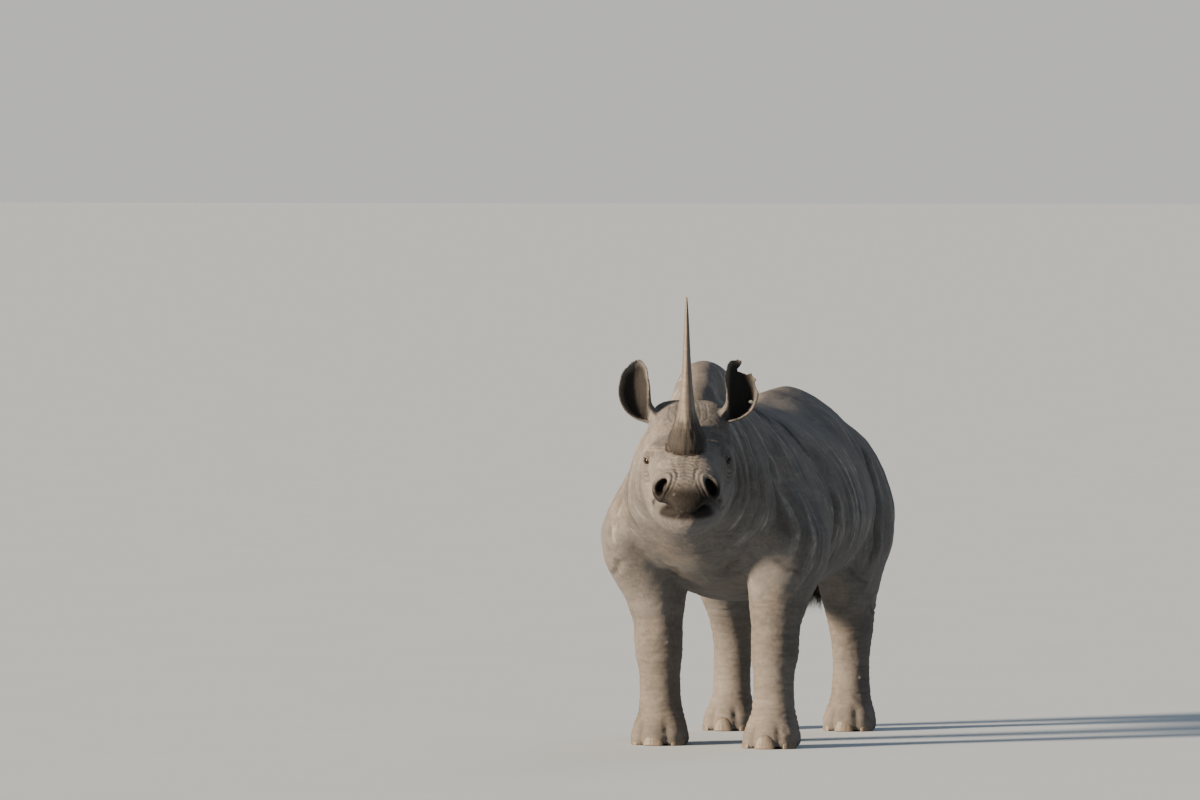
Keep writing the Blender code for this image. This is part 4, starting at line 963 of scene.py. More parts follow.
def skinRelief(points, quads):
    normal = normalsOf(points, quads)
    inHead, rest = toHead(points), withoutStride(points)
    turned = toHead(normal, move=0)
    isHead = smoothStep(inHead[:, 1], -0.10, -0.02)
    isEar = smoothStep(np.abs(inHead[:, 0]), 0.155, 0.172) * smoothStep(inHead[:, 2], 0.125, 0.165) * isHead
    state = {"height": np.zeros(len(points)), "push": np.zeros_like(points), "inHead": inHead,
             "head": isHead, "ear": isEar, "fold": np.zeros(len(points)), "pit": np.zeros(len(points)),
             "lip": np.zeros(len(points))}
    bodyRelief(state, rest, normal)
    footRelief(state, rest)
    headRelief(state, inHead, turned)
    nostrilRelief(state, inHead, turned)
    eyeRelief(state, inHead)
    hornRelief(state, inHead)
    fineRelief(state, rest, normal)
    moved = inHead + state["push"] + turned * state["height"][:, None]
    return fromHead(moved), state


skinMoved, skinState = skinRelief(skinPoints, skinQuads)
skinMoved = relax(skinMoved, skinEdges, 1, np.full(len(skinMoved), 0.35))


# painted shade inside an ear's cup, found by the way the skin faces; the mark falls off toward the rim
def insideEar(state, normal):
    opens = np.array(ear["opens"])
    facing = sum((normal @ (opens * (side, 1, 1))) * (state["inHead"][:, 0] * side > 0) for _, side in sides)
    found = np.nonzero(state["ear"] > 0.01)[0]
    rims = [0.5 * sum(earGrids(side, 9, 90))[:, (0, -1)].reshape(-1, 3) for _, side in sides]
    far = np.linalg.norm(state["inHead"][found, None] - np.concatenate(rims)[None], axis=2).min(1)
    deep = np.zeros(len(facing))
    least, near, full = ear["cupFade"]
    deep[found] = least + (1 - least) * smoothStep(far, near, full)
    return state["ear"] * smoothStep(facing, -0.15, 0.20) * deep


def makeSkin():
    points = toFrame(skinMoved)
    points[:, 2] = np.maximum(points[:, 2], cadLow.z)
    mesh = makeMesh("skin", points, skinQuads, outward=False)
    turned = toHead(normalsOf(skinPoints, skinQuads), move=0)
    masks = {"fold": skinState["fold"], "pit": skinState["pit"], "lip": skinState["lip"],
             "earCupShade": insideEar(skinState, turned), "face": skinState["head"]}
    for name, values in masks.items():
        pointValues(mesh, name, values)
    skin = makeObject("skin", mesh)
    keep = skin.vertex_groups.new(name="keep")
    steps = skinMake["keepSteps"]
    care = np.maximum(skinState["head"], 0.5 * skinState["fold"])
    level = np.clip(np.round(steps * care), 0, steps).astype(int)
    for step in range(1, steps + 1):
        keep.add(np.nonzero(level == step)[0].tolist(), step / (steps + 1), "REPLACE")
    thin = skin.modifiers.new("thin", "DECIMATE")
    thin.ratio = skinMake["triangles"] / (2 * len(skinQuads))
    thin.vertex_group, thin.invert_vertex_group, thin.vertex_group_factor = "keep", True, 0.001
    mesh = evaluated(skin)
    mesh.name = "skin"
    points = meshPoints(mesh)
    points[:, 2] = np.maximum(points[:, 2], cadLow.z)
    mesh.vertices.foreach_set("co", points.astype(np.float32).ravel())
    mesh.shade_smooth()
    return makeObject("skin", mesh)


skin = makeSkin()
fleshNodes = ["head", "neck", "trunk", "tail", "ear_left", "ear_right"]
fleshNodes += [f"leg_{place}_{word}" for place, word, _ in feet]
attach(skin, "root")
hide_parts(*fleshNodes)
print("skin:", len(skin.data.polygons), "faces")


# horns
horns = {
    "front": {
        "at": (0.412, 0.113), "lean": 10, "curl": 30,  # forward and up on the face; degrees
        "collar": 0.135,  # length of the rough fibrous base
        "root": 0.030,  # how far the horn goes on under the skin, narrowing
        # distance up the horn, half width across, half length fore and aft
        "rows": (
            (0.000, 0.072, 0.095), (0.030, 0.082, 0.101), (0.056, 0.082, 0.097), (0.080, 0.077, 0.090),
            (0.100, 0.069, 0.081), (0.118, 0.054, 0.067), (0.138, 0.041, 0.056), (0.200, 0.032, 0.045),
            (0.300, 0.022, 0.031), (0.400, 0.0155, 0.022), (0.520, 0.0100, 0.014), (0.600, 0.0060, 0.008),
            (0.634, 0.0025, 0.003),
        ),
    },
    "rear": {
        "at": (0.243, 0.118), "lean": -2, "curl": 20, "collar": 0.060, "root": 0.022,
        "rows": (
            (0.000, 0.060, 0.066), (0.025, 0.057, 0.063), (0.055, 0.044, 0.052),
            (0.100, 0.031, 0.040), (0.160, 0.021, 0.029), (0.215, 0.0125, 0.018), (0.258, 0.0060, 0.009),
            (0.272, 0.0020, 0.003),
        ),
    },
}


hornShape = {
    "soften": 0.012,  # the outline is averaged over this much to either side, less on the short horn
    "footReach": 0.045,  # below this distance up the horn its foot rounds in
    "footLoss": (0.36, 0.30),  # shares of the half width and of the half length that it loses
}


# rings square to a curling axis, with upright fibres that are coarse in the collar and fade up the shaft
def hornRings(spec, count=230, around=112):
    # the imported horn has 12 rings; this one follows their line and outline, softened between them
    bends, wide, long = smoothRows(spec["rows"], 12).T
    angle = np.radians(spec["lean"] - spec["curl"] * bends / bends[-1])
    step = np.diff(bends, prepend=0)
    line = np.stack([bends, spec["at"][0] + np.cumsum(step * np.sin(angle)),
                     spec["at"][1] + np.cumsum(step * np.cos(angle)), angle], axis=1)
    deep = spec["root"]
    foot = line[0] - (deep, deep * math.sin(angle[0]), deep * math.cos(angle[0]), 0)
    up, forward, height, angle = smoothRows(np.vstack([foot, line]), count).T
    near = np.linspace(-hornShape["soften"], hornShape["soften"], 9) * min(1, bends[-1] / 0.5)
    across, fore = [np.mean([np.interp(up + n, bends, value) for n in near], axis=0)
                    for value in (wide, long)]
    foot = np.clip(1 - (up + deep) / (deep + hornShape["footReach"]), 0, 1) ** 2
    lossAcross, lossFore = hornShape["footLoss"]
    across, fore = across * (1 - lossAcross * foot), fore * (1 - lossFore * foot)
    turn = roundTurns(around)
    cos, sin = np.cos(turn)[None], np.sin(turn)[None]
    grid = np.stack(np.broadcast_arrays(cos * 0.05, sin * 0.05, up[:, None]), axis=-1)
    rough = (1 - smoothStep(up, spec["collar"] * 0.75, spec["collar"] * 1.25))[:, None]
    coarse = hillsOn(grid, (0.010, 0.010, 0.060), 41)
    strands = hillsOn(grid, (0.0045, 0.0045, 0.05), 42)
    rings = hills(np.stack([up, up * 0, up * 0], axis=1), (0.011, 1, 1), 43)[:, None]
    lumps = hillsOn(grid, (0.035, 0.035, 0.030), 44)
    shaft = (1 - rough) * (0.0004 * strands + 0.0006 * rings) * np.minimum(across / 0.02, 1)[:, None]
    hem = bell(up, 0.030)[:, None]  # the lowest fibres end raggedly under the skin
    grow = rough * (0.0020 * coarse + 0.0011 * strands + 0.0005 * rings + 0.0018 * lumps) + shaft
    grow = grow - rough * (0.0022 + 0.002 * hem)  # the relief is cut in, so that the horn keeps its size
    reachX, reachY = (across[:, None] + grow) * cos, (fore[:, None] + grow) * sin
    y = forward[:, None] + reachY * np.cos(angle)[:, None]
    z = height[:, None] - reachY * np.sin(angle)[:, None]
    return np.stack([reachX, y, z], axis=-1), up, turn


# each point knows its distance up the horn and its place among the fibres, which follow the shaft
def makeHorn(place):
    spec = horns[place]
    rings, up, turn = hornRings(spec)
    mesh = makeMesh(f"horn_{place}_keratin", *tubeParts(toFrame(fromHead(rings))))
    along = np.concatenate([np.repeat(up, len(turn)), [0.0], [up[-1]]])
    pointValues(mesh, "along", along)
    circle = np.tile(np.stack([np.cos(turn), np.sin(turn)], axis=1), (len(up), 1))
    circle = np.concatenate([circle, np.zeros((2, 2))])
    fibre = np.concatenate([circle * 0.05, along[:, None]], axis=1).astype(np.float32)
    mesh.attributes.new("fibre", "FLOAT_VECTOR", "POINT").data.foreach_set("vector", fibre.ravel())
    made = makeObject(f"horn_{place}_keratin", mesh)
    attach(made, "root")
    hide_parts(f"horn_{place}")
    return made


hornPieces = [makeHorn(place) for place in ("front", "rear")]
print("horns made")


# eyes and lids
# a ball round the eye's own axis, with a cornea that stands a little proud
def eyeGrid(side, rows=48, around=72):
    centre, gaze, along, up = eyeFrame(side)
    polar = np.linspace(0.02, math.pi - 0.02, rows)[:, None]
    turn = roundTurns(around)[None]
    cornea = 0.0016 * np.clip(1 - (polar / math.radians(33)) ** 2, 0, None) ** 0.8
    reach = eye["radius"] - 0.0006 + cornea
    out = (np.sin(polar) * np.cos(turn))[..., None] * along + (np.sin(polar) * np.sin(turn))[..., None] * up
    out = out + (np.cos(polar) * np.ones_like(turn))[..., None] * gaze
    return centre + reach[..., None] * out, polar


def makeEye(word, side):
    grid, polar = eyeGrid(side)
    mesh = makeMesh(f"eyeball_{word}", *tubeParts(toFrame(fromHead(grid))))
    values = np.concatenate([np.repeat(np.degrees(polar[:, 0]), grid.shape[1]), [0.0, 180.0]])
    pointValues(mesh, "polar", values)
    made = makeObject(f"eyeball_{word}", mesh)
    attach(made, "root")
    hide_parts(f"eye_{word}")
    return made


# the opening's half angle round the gaze: an almond with pointed corners
def lidOpening(turn):
    up = np.where(np.sin(turn) >= 0, eye["halfUp"], eye["halfDown"])
    cos, sin = np.abs(np.cos(turn)), np.abs(np.sin(turn))
    return ((cos / eye["halfLong"]) ** 1.55 + (sin / up) ** 1.55) ** (-1 / 1.55)


lid = {
    # share of the way out, height over the ball in metres: edge, margin, roll, skirt under the skin
    "profile": ((0.00, 0.0002), (0.02, 0.0022), (0.08, 0.0036), (0.20, 0.0044), (0.36, 0.0036),
                (0.44, 0.0026), (0.54, 0.0048), (0.70, 0.0050), (0.86, 0.0030), (1.00, -0.0010)),
    "outer": 84,  # degrees from the gaze where the skirt ends
}


# a lid is a closed band round the eye: outer face out to the skirt, and an inner face back on the ball
def makeLids(word, side):
    centre, gaze, along, up = eyeFrame(side)
    turn = roundTurns(120)
    share, height = smoothRows(lid["profile"], 40).T
    inner = lidOpening(turn)
    angle = np.radians(inner[None] + (lid["outer"] - inner[None]) * share[:, None])
    grid = np.broadcast_arrays(np.cos(turn)[None], np.sin(turn)[None], share[:, None] * 2)
    wobble = hillsOn(np.stack(grid, axis=-1), (0.35, 0.35, 0.8), 51)
    reach = eye["radius"] + height[:, None] + 0.0007 * wobble * np.minimum(share * 6, 1)[:, None]
    back = np.full_like(reach[::8], eye["radius"] - 0.004)[::-1]
    angle, reach = np.concatenate([angle, angle[::8][::-1]]), np.concatenate([reach, back])
    flat = np.cos(turn)[:, None] * along + np.sin(turn)[:, None] * up
    out = np.sin(angle)[..., None] * flat + np.cos(angle)[..., None] * gaze
    rings = centre + reach[..., None] * out
    rows, columns = rings.shape[:2]
    first = np.arange(columns)
    last = first + (rows - 1) * columns
    close = np.stack([last, np.roll(last, -1), np.roll(first, -1), first], axis=1)
    mesh = makeMesh(f"lid_{word}", toFrame(fromHead(rings)).reshape(-1, 3), gridQuads(rows, columns), close)
    # painted shade at the lid's fold and along its edge, full on the part turned back on the ball
    fold = np.concatenate([bell(share - 0.44, 0.06) + bell(share, 0.05), np.ones(len(back))])
    pointValues(mesh, "fold", np.repeat(np.clip(fold, 0, 1), columns))
    pointValues(mesh, "face", np.ones(len(fold) * columns))
    made = makeObject(f"lid_{word}", mesh)
    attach(made, "root")
    return made


eyePieces = [makeEye(word, side) for word, side in sides]
lidPieces = [makeLids(word, side) for word, side in sides]
print("eyes and lids made")


# toenails
# an upright shield bent round the foot; each slice is a rounded outline of reach and height
def makeNail(place, word, side, toe):
    name, turn, spread, tall = toe
    _, front, back, inner, outer, _ = legs[place][-2]
    stride = legs["stride"][f"{place}_{word}"]
    middle = np.array((side * (inner + outer) / 2, (front + back) / 2 + stride))
    share = np.linspace(-1, 1, 33)
    way = turn + share * spread
    outX, outY = (outer - inner) / 2 * np.sin(way), -(back - front) / 2 * np.cos(way)
    reach = np.hypot(outX, outY)
    height = tall * (1 - 0.45 * np.abs(share) ** 2.5)
    edge = 1 - np.abs(share) ** 4
    proud, deep = nails["proud"], nails["depth"]
    out = np.stack([reach - deep, reach - deep * 0.3, reach + proud * (0.35 + 0.65 * edge),
                    reach + proud * (0.32 + 0.65 * edge), reach + proud * (0.20 + 0.6 * edge),
                    reach + proud * 0.3 * edge - 0.004, reach - 0.012, reach - deep, reach - deep], axis=1)
    up = height[:, None] * np.array((0.0, 0.0, 0.02, 0.14, 0.50, 0.88, 1.0, 0.9, 0.4))
    at = np.linspace(0, out.shape[1], 48, endpoint=False)
    fine = [np.stack([np.interp(at, np.arange(out.shape[1] + 1), np.append(v, v[0])) for v in values])
            for values in (out, up)]
    for _ in range(2):
        fine = [0.5 * v + 0.25 * (np.roll(v, 1, axis=1) + np.roll(v, -1, axis=1)) for v in fine]
    x = middle[0] + fine[0] * (outX / reach)[:, None]
    y = middle[1] + fine[0] * (outY / reach)[:, None]
    rings = np.stack([x, y, np.maximum(fine[1], 0)], axis=-1)
    grain = hillsOn(rings, (0.006, 0.006, 0.05), 61)
    level = hillsOn(rings, (0.2, 0.2, 0.007), 62)
    grow = (0.0007 * grain + 0.0006 * level) * edge[:, None] * (fine[0] > reach[:, None] - 0.008)
    rings[..., 0] += grow * (outX / reach)[:, None]
    rings[..., 1] += grow * (outY / reach)[:, None]
    label = f"nail_{place}_{word}_{name}"
    made = makeObject(f"{label}_keratin", makeMesh(f"{label}_keratin", *tubeParts(toFrame(rings))))
    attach(made, "root")
    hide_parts(label)
    return made


nailPieces = [makeNail(*foot, toe) for foot in feet for toe in nails["toes"]]
print("toenails made:", len(nailPieces))


# hair
hair = {
    "earCount": 2300,
    "earLength": (0.003, 0.008),
    "earThick": 0.00028,  # radius at the root
    "tailCount": 1700,
    "tailLength": (0.07, 0.15),
    "tailThick": 0.00075,
    "lashCount": 68,  # on each eye
    "lashLength": (0.006, 0.010),
    "lashThick": 0.00028,
    "hornCount": (760, 400),  # round the front and the rear horn
    "hornLength": (0.006, 0.017),
    "hornThick": 0.00045,
    "patch": 0.003,  # each hair's patch on the bake map
}


# a hair is a three-sided tapering blade along root + way * t + bend * t * t, closed at root and tip
def makeHair(name, roots, ways, bends, lengths, thick, places):
    count = len(roots)
    t = np.array((0.0, 0.4, 0.75))
    ways = ways / np.linalg.norm(ways, axis=1)[:, None]
    across = np.cross(ways, (0.31, 0.52, 0.79))
    across /= np.linalg.norm(across, axis=1)[:, None]
    over = np.cross(ways, across)
    turn = roundTurns(3)
    length = lengths[:, None, None]
    share = t[None, :, None]
    line = roots[:, None] + length * (ways[:, None] * share + bends[:, None] * share**2)
    radius = (thick * (1 - t) ** 0.7)[:, None, None]
    ring = np.cos(turn)[:, None] * across[:, None, None] + np.sin(turn)[:, None] * over[:, None, None]
    body = line[:, :, None] + radius * ring
    tip = roots + lengths[:, None] * (ways + bends)
    points = np.concatenate([body.reshape(count, 9, 3), tip[:, None]], axis=1).reshape(-1, 3)
    k = np.arange(3)
    j = (k + 1) % 3
    quads = np.concatenate([np.stack([r + k, r + j, r + 3 + j, r + 3 + k], axis=1) for r in (0, 3)])
    tips = np.concatenate([np.stack([6 + k, 6 + j, np.full(3, 9)], axis=1), [[2, 1, 0]]])
    start = (np.arange(count) * 10)[:, None, None]
    quads, tips = (quads[None] + start).reshape(-1, 4), (tips[None] + start).reshape(-1, 3)
    mesh = makeMesh(name, toFrame(points), quads, tips)
    offset = np.array([(0.0, s / 3) for s in range(3) for _ in range(3)] + [(0.5, 1.0)])
    offset[:9, 0] = np.tile((0.0, 0.5, 1.0), 3)
    spots = (places[:, None] + hair["patch"] * (offset[None] - 0.5)).reshape(-1, 2)
    corners = np.empty(len(mesh.loops), np.int32)
    mesh.loops.foreach_get("vertex_index", corners)
    mesh.uv_layers.new(name="OFBake").data.foreach_set("uv", spots[corners].astype(np.float32).ravel())
    made = makeObject(name, mesh)
    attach(made, "root")
    return made


# the nearest place on the skin for each root, and whether it is within reach
def onSkin(roots, reach):
    found = [skin.closest_point_on_mesh(Vector(point)) for point in roots]
    nearest = np.array([place for _, place, _, _ in found])
    return nearest, np.linalg.norm(nearest - roots, axis=1) < reach


# hairs round the rim of an ear, leaning out and toward the tip
def earFringe(word, side):
    random = np.random.default_rng(71 if side > 0 else 72)
    outer, inner = earGrids(side, along=200)
    rim = 0.5 * (outer + inner)
    count = hair["earCount"]
    row = (random.uniform(0.12, 0.985, count) ** 0.8 * (rim.shape[0] - 1)).astype(int)
    edge = np.where(random.random(count) < 0.5, 0, rim.shape[1] - 1)
    roots = rim[row, edge] + random.normal(0, 0.0012, (count, 3))
    beside = rim[row, np.where(edge == 0, 2, rim.shape[1] - 3)]
    along = rim[np.minimum(row + 2, rim.shape[0] - 1), edge] - rim[np.maximum(row - 2, 0), edge]
    away = rim[row, edge] - beside
    away /= np.linalg.norm(away, axis=1)[:, None]
    along /= np.maximum(np.linalg.norm(along, axis=1), 1e-9)[:, None]
    ways = away + 0.55 * along + random.normal(0, 0.28, (count, 3))
    places = np.stack([0.05 + 0.4 * edge / (rim.shape[1] - 1) + (0.5 if side < 0 else 0),
                       0.05 + 0.9 * row / rim.shape[0]], axis=1)
    lengths = random.uniform(*hair["earLength"], count)
    nearest, keep = onSkin(toFrame(fromHead(roots)), 0.004)
    roots = fromHead(roots) + nearest - toFrame(fromHead(roots))  # torn-off rim has no skin, and no hair
    roots, ways = roots[keep], wayFromHead(ways[keep])
    bends = np.tile((0, 0, -0.10), (keep.sum(), 1)) + random.normal(0, 0.12, (keep.sum(), 3))
    return makeHair(f"ear_fringe_{word}", roots, ways, bends, lengths[keep], hair["earThick"], places[keep])


# coarse bristles down both sides of the tail's end
def tailTuft():
    random = np.random.default_rng(73)
    count = hair["tailCount"]
    spine = smoothPath(trunk["tail"], 200)
    row = (random.uniform(0.68, 0.995, count) * 199).astype(int)
    turn = np.where(random.random(count) < 0.5, 0, math.pi) + random.normal(0, 0.75, count)
    back, height, radius = spine[row].T
    flat = np.stack([np.cos(turn), np.sin(turn), np.zeros(count)], axis=1)
    roots = np.stack([np.zeros(count), back, height], axis=1) + flat * (radius * 0.8)[:, None]
    ways = flat * 0.42 + (0, 0, -1) + random.normal(0, 0.10, (count, 3))
    bends = -flat * 0.22 + random.normal(0, 0.06, (count, 3))
    lengths = random.uniform(*hair["tailLength"], count) * (0.65 + 0.35 * (row / 199))
    places = np.stack([(turn / (2 * math.pi)) % 1 * 0.9 + 0.05, 0.05 + 0.9 * row / 199], axis=1)
    return makeHair("tail_tuft", roots, ways, bends, lengths, hair["tailThick"], places)


def lashes(word, side):
    random = np.random.default_rng(74 if side > 0 else 75)
    centre, gaze, along, up = eyeFrame(side)
    count = hair["lashCount"]
    turn = np.radians(random.uniform(25, 155, count))
    angle = np.radians(lidOpening(turn) + 1.5)
    flat = np.cos(turn)[:, None] * along + np.sin(turn)[:, None] * up
    out = np.sin(angle)[:, None] * flat + np.cos(angle)[:, None] * gaze
    roots = centre + (eye["radius"] + 0.0028) * out
    ways = gaze + 0.3 * flat + random.normal(0, 0.12, (count, 3))
    bends = np.tile(-0.15 * up, (count, 1))
    lengths = random.uniform(*hair["lashLength"], count)
    places = np.stack([0.1 + 0.8 * turn / math.pi, np.full(count, 0.5)], axis=1)
    return makeHair(f"lashes_{word}", fromHead(roots), wayFromHead(ways), wayFromHead(bends), lengths,
                    hair["lashThick"], places)


# frayed fibres where the skin ends against a horn, lying up its side
def hornFringe(place, count):
    random = np.random.default_rng(76 if place == "front" else 77)
    _, across, fore = horns[place]["rows"][1]
    forward, level = horns[place]["at"]
    turn = random.uniform(0, 2 * math.pi, count)
    flat = np.stack([np.sin(turn), np.cos(turn), np.zeros(count)], axis=1)
    wide = random.uniform(0.93, 1.02, count)[:, None]
    above = fromHead(flat * wide * (across, fore, 0) + (0, forward, level + 0.10))
    drop, still = [toFrame(fromHead(np.array([[0, 0, level]])))[0] for level in (-1.0, 0.0)]
    found = [skin.ray_cast(Vector(point), Vector(drop - still)) for point in toFrame(above)]
    near = np.array([hit for hit, *_ in found])
    roots = above + np.array([place for _, place, *_ in found]) - toFrame(above)
    ways = 0.30 * flat + (0, 0, 0.9) + random.normal(0, 0.20, (count, 3))
    bends = -0.30 * flat + random.normal(0, 0.08, (count, 3))
    places = np.stack([0.05 + 0.9 * turn / (2 * math.pi), np.full(count, 0.5)], axis=1)
    lengths = random.uniform(*hair["hornLength"], count)
    return makeHair(f"horn_fringe_{place}", roots[near], wayFromHead(ways[near]), wayFromHead(bends[near]),
                    lengths[near], hair["hornThick"], places[near])


hairPieces = [hornFringe(place, count) for place, count in zip(("front", "rear"), hair["hornCount"])]
hairPieces += [earFringe(word, side) for word, side in sides] + [tailTuft()]
hairPieces += [lashes(word, side) for word, side in sides]
print("hair made")


# materials
# a node with its settings; values that are sockets are linked
def put(tree, kind, values=None, **settings):
    node = tree.nodes.new(kind)
    for name, value in settings.items():
        setattr(node, name, value)
    for name, value in (values or {}).items():
        if isinstance(value, bpy.types.NodeSocket):
            tree.links.new(value, node.inputs[name])
        else:
            node.inputs[name].default_value = value
    return node


def maths(tree, operation, a, b=0.0, clamp=False):
    return put(tree, "ShaderNodeMath", {0: a, 1: b}, operation=operation, use_clamp=clamp).outputs[0]


def times(tree, a, b):
    return maths(tree, "MULTIPLY", a, b)


def plus(tree, a, b):
    return maths(tree, "ADD", a, b)


# a value carried from low..high to 0..1 along a smooth step
def between(tree, value, low, high):
    values = {"Value": value, "From Min": low, "From Max": high}
    return put(tree, "ShaderNodeMapRange", values, interpolation_type="SMOOTHSTEP").outputs[0]


def blend(tree, share, a, b):
    return put(tree, "ShaderNodeMix", {0: share, 6: a, 7: b}, data_type="RGBA").outputs[2]


def noise(tree, vector, scale, detail=4.0, rough=0.55, distort=0.0):
    values = {"Vector": vector, "Scale": scale, "Detail": detail, "Roughness": rough, "Distortion": distort}
    return put(tree, "ShaderNodeTexNoise", values).outputs[0]


def mapped(tree, vector, scale, turn=(0, 0, 0)):
    values = {"Vector": vector, "Scale": scale, "Rotation": [math.radians(a) for a in turn]}
    return put(tree, "ShaderNodeMapping", values).outputs[0]


def colour(red, green, blue):
    return (red, green, blue, 1.0)


# a point's place in its own object, which is also its place in the world
def ownPlace(tree):
    return put(tree, "ShaderNodeTexCoord").outputs["Object"]


def coordinate(tree, vector, axis):
    return put(tree, "ShaderNodeSeparateXYZ", {0: vector}).outputs[axis]


# how far the surface faces along an axis
def surfaceFacing(tree, axis):
    return coordinate(tree, put(tree, "ShaderNodeNewGeometry").outputs["Normal"], axis)


def attribute(tree, name, output="Fac"):
    return put(tree, "ShaderNodeAttribute", attribute_name=name).outputs[output]


# a group that takes a vector and one number, and gives numbers
def newGroup(name, number, *results):
    tree = bpy.data.node_groups.new(name, "ShaderNodeTree")
    tree.interface.new_socket(name="Vector", in_out="INPUT", socket_type="NodeSocketVector")
    tree.interface.new_socket(name=number, in_out="INPUT", socket_type="NodeSocketFloat")
    for label in results:
        tree.interface.new_socket(name=label, in_out="OUTPUT", socket_type="NodeSocketFloat")
    given, gives = tree.nodes.new("NodeGroupInput"), tree.nodes.new("NodeGroupOutput")
    return tree, given.outputs["Vector"], given.outputs[number], gives.inputs


# hide: a net of cracks at three sizes; its height and how deep in a crack each point is
def crackGroup():
    tree, vector, size, gives = newGroup("hideCracks", "Size", "Height", "Crack")
    values = {"Vector": vector, "Scale": 22.0, "Detail": 2.0}
    waves = put(tree, "ShaderNodeTexNoise", values).outputs["Color"]
    shift = put(tree, "ShaderNodeVectorMath", {0: waves, 3: 0.012}, operation="SCALE").outputs[0]
    warped = put(tree, "ShaderNodeVectorMath", {0: vector, 1: shift}, operation="ADD").outputs[0]
    edges = []
    for scale in (46.0, 125.0, 300.0):
        values = {"Vector": warped, "Scale": times(tree, size, scale)}
        cells = put(tree, "ShaderNodeTexVoronoi", values, feature="DISTANCE_TO_EDGE")
        edges.append(between(tree, cells.outputs["Distance"], 0.0, 0.13))
    grain = noise(tree, vector, 420.0, 3.0)
    total = plus(tree, times(tree, edges[0], 0.17), times(tree, edges[1], 0.33))
    total = plus(tree, total, times(tree, edges[2], 0.26))
    total = plus(tree, total, times(tree, grain, 0.24))
    tree.links.new(total, gives["Height"])
    tree.links.new(maths(tree, "SUBTRACT", 1.0, total, clamp=True), gives["Crack"])
    return tree


# dust: settles on what faces up, in patches and in drifting streaks
def dustGroup():
    tree, vector, amount, gives = newGroup("fieldDust", "Amount", "Mask")
    top = between(tree, surfaceFacing(tree, "Z"), -0.15, 0.95)
    patches = between(tree, noise(tree, vector, 5.5, 5.0, 0.6), 0.36, 0.70)
    slanted = mapped(tree, vector, (3.0, 3.2, 26.0), (38, 0, 0))
    streaks = between(tree, noise(tree, slanted, 1.0, 4.0, 0.62, 0.5), 0.54, 0.74)
    speckle = between(tree, noise(tree, vector, 95.0, 3.0, 0.7), 0.40, 0.66)
    body = plus(tree, times(tree, patches, 0.65), times(tree, streaks, 0.75))
    body = times(tree, body, plus(tree, times(tree, top, 0.75), 0.25))
    body = times(tree, body, plus(tree, times(tree, speckle, 0.6), 0.4))
    tree.links.new(maths(tree, "MULTIPLY", body, amount, clamp=True), gives["Mask"])
    return tree


# keratin: fibres along the third coordinate and level growth lines
def keratinGroup():
    tree, vector, coarse, gives = newGroup("keratinGrain", "Coarse", "Height", "Shade")
    fine = noise(tree, mapped(tree, vector, (420, 420, 11)), 1.0, 4.0, 0.65)
    thick = noise(tree, mapped(tree, vector, (130, 130, 7)), 1.0, 4.0, 0.6, 0.3)
    growth = noise(tree, mapped(tree, vector, (6, 6, 85)), 1.0, 3.0, 0.5)
    rough = times(tree, thick, coarse)
    height = plus(tree, times(tree, fine, 0.5), rough)
    height = plus(tree, height, times(tree, growth, 0.12))
    tree.links.new(height, gives["Height"])
    shade = plus(tree, times(tree, fine, 0.50), times(tree, thick, 0.38))
    shade = plus(tree, shade, times(tree, growth, 0.12))
    tree.links.new(shade, gives["Shade"])
    return tree


def placeGroup(tree, group, values):
    return put(tree, "ShaderNodeGroup", values, node_tree=group).outputs


def newMaterial(name, **fixed):
    made = bpy.data.materials.new(name)
    made.use_nodes = True
    tree = made.node_tree
    shader = tree.nodes["Principled BSDF"]
    for label, value in fixed.items():
        shader.inputs[label.replace("_", " ")].default_value = value
    return made, tree, shader


def setSurface(tree, shader, base, roughness):
    tree.links.new(base, shader.inputs["Base Color"])
    tree.links.new(roughness, shader.inputs["Roughness"])


def setBump(tree, shader, height, strength, distance):
    values = {"Height": height, "Strength": strength, "Distance": distance}
    tree.links.new(put(tree, "ShaderNodeBump", values).outputs[0], shader.inputs["Normal"])


cracks, dust, keratin = crackGroup(), dustGroup(), keratinGroup()
hide = {
    "dark": colour(0.062, 0.061, 0.062),
    "light": colour(0.156, 0.153, 0.153),
    "warm": colour(0.158, 0.134, 0.112),
    # painted shade for the cracks and folds
    "creaseShade": colour(0.016, 0.013, 0.011),
    "dust": colour(0.300, 0.268, 0.236),
    "streak": colour(0.400, 0.395, 0.392),
    # colour of the muzzle: real stain, darkened further as painted shade
    "muzzleStainAndShade": colour(0.005, 0.0035, 0.0028),
    # painted shade inside the ear cups
    "earCupShade": colour(0.006, 0.0055, 0.0055),
    # painted shade inside the nostrils
    "pit": colour(0.006, 0.004, 0.0035),
}


# pale streaks where dust has run down the flank and back: one set leans, and one follows the ribs
def flankStreaks(tree, vector, height):
    leaning = noise(tree, mapped(tree, vector, (3.0, 26.0, 3.6), (-32, 0, 0)), 1.0, 5.0, 0.62, 0.25)
    upright = noise(tree, mapped(tree, vector, (3.0, 20.0, 1.7), (-6, 0, 0)), 1.0, 4.0, 0.60, 0.20)
    both = maths(tree, "MAXIMUM", between(tree, leaning, 0.57, 0.74),
                 times(tree, between(tree, upright, 0.52, 0.72), 0.8))
    broken = between(tree, noise(tree, vector, 38.0, 5.0, 0.7), 0.36, 0.66)
    both = times(tree, both, plus(tree, times(tree, broken, 0.7), 0.3))
    high = between(tree, height, 0.55, 0.85)
    beside = between(tree, maths(tree, "ABSOLUTE", surfaceFacing(tree, "X")), 0.30, 0.75)
    body = times(tree, beside, maths(tree, "SUBTRACT", 1.0, attribute(tree, "face")))
    return times(tree, times(tree, both, high), times(tree, body, 0.90))


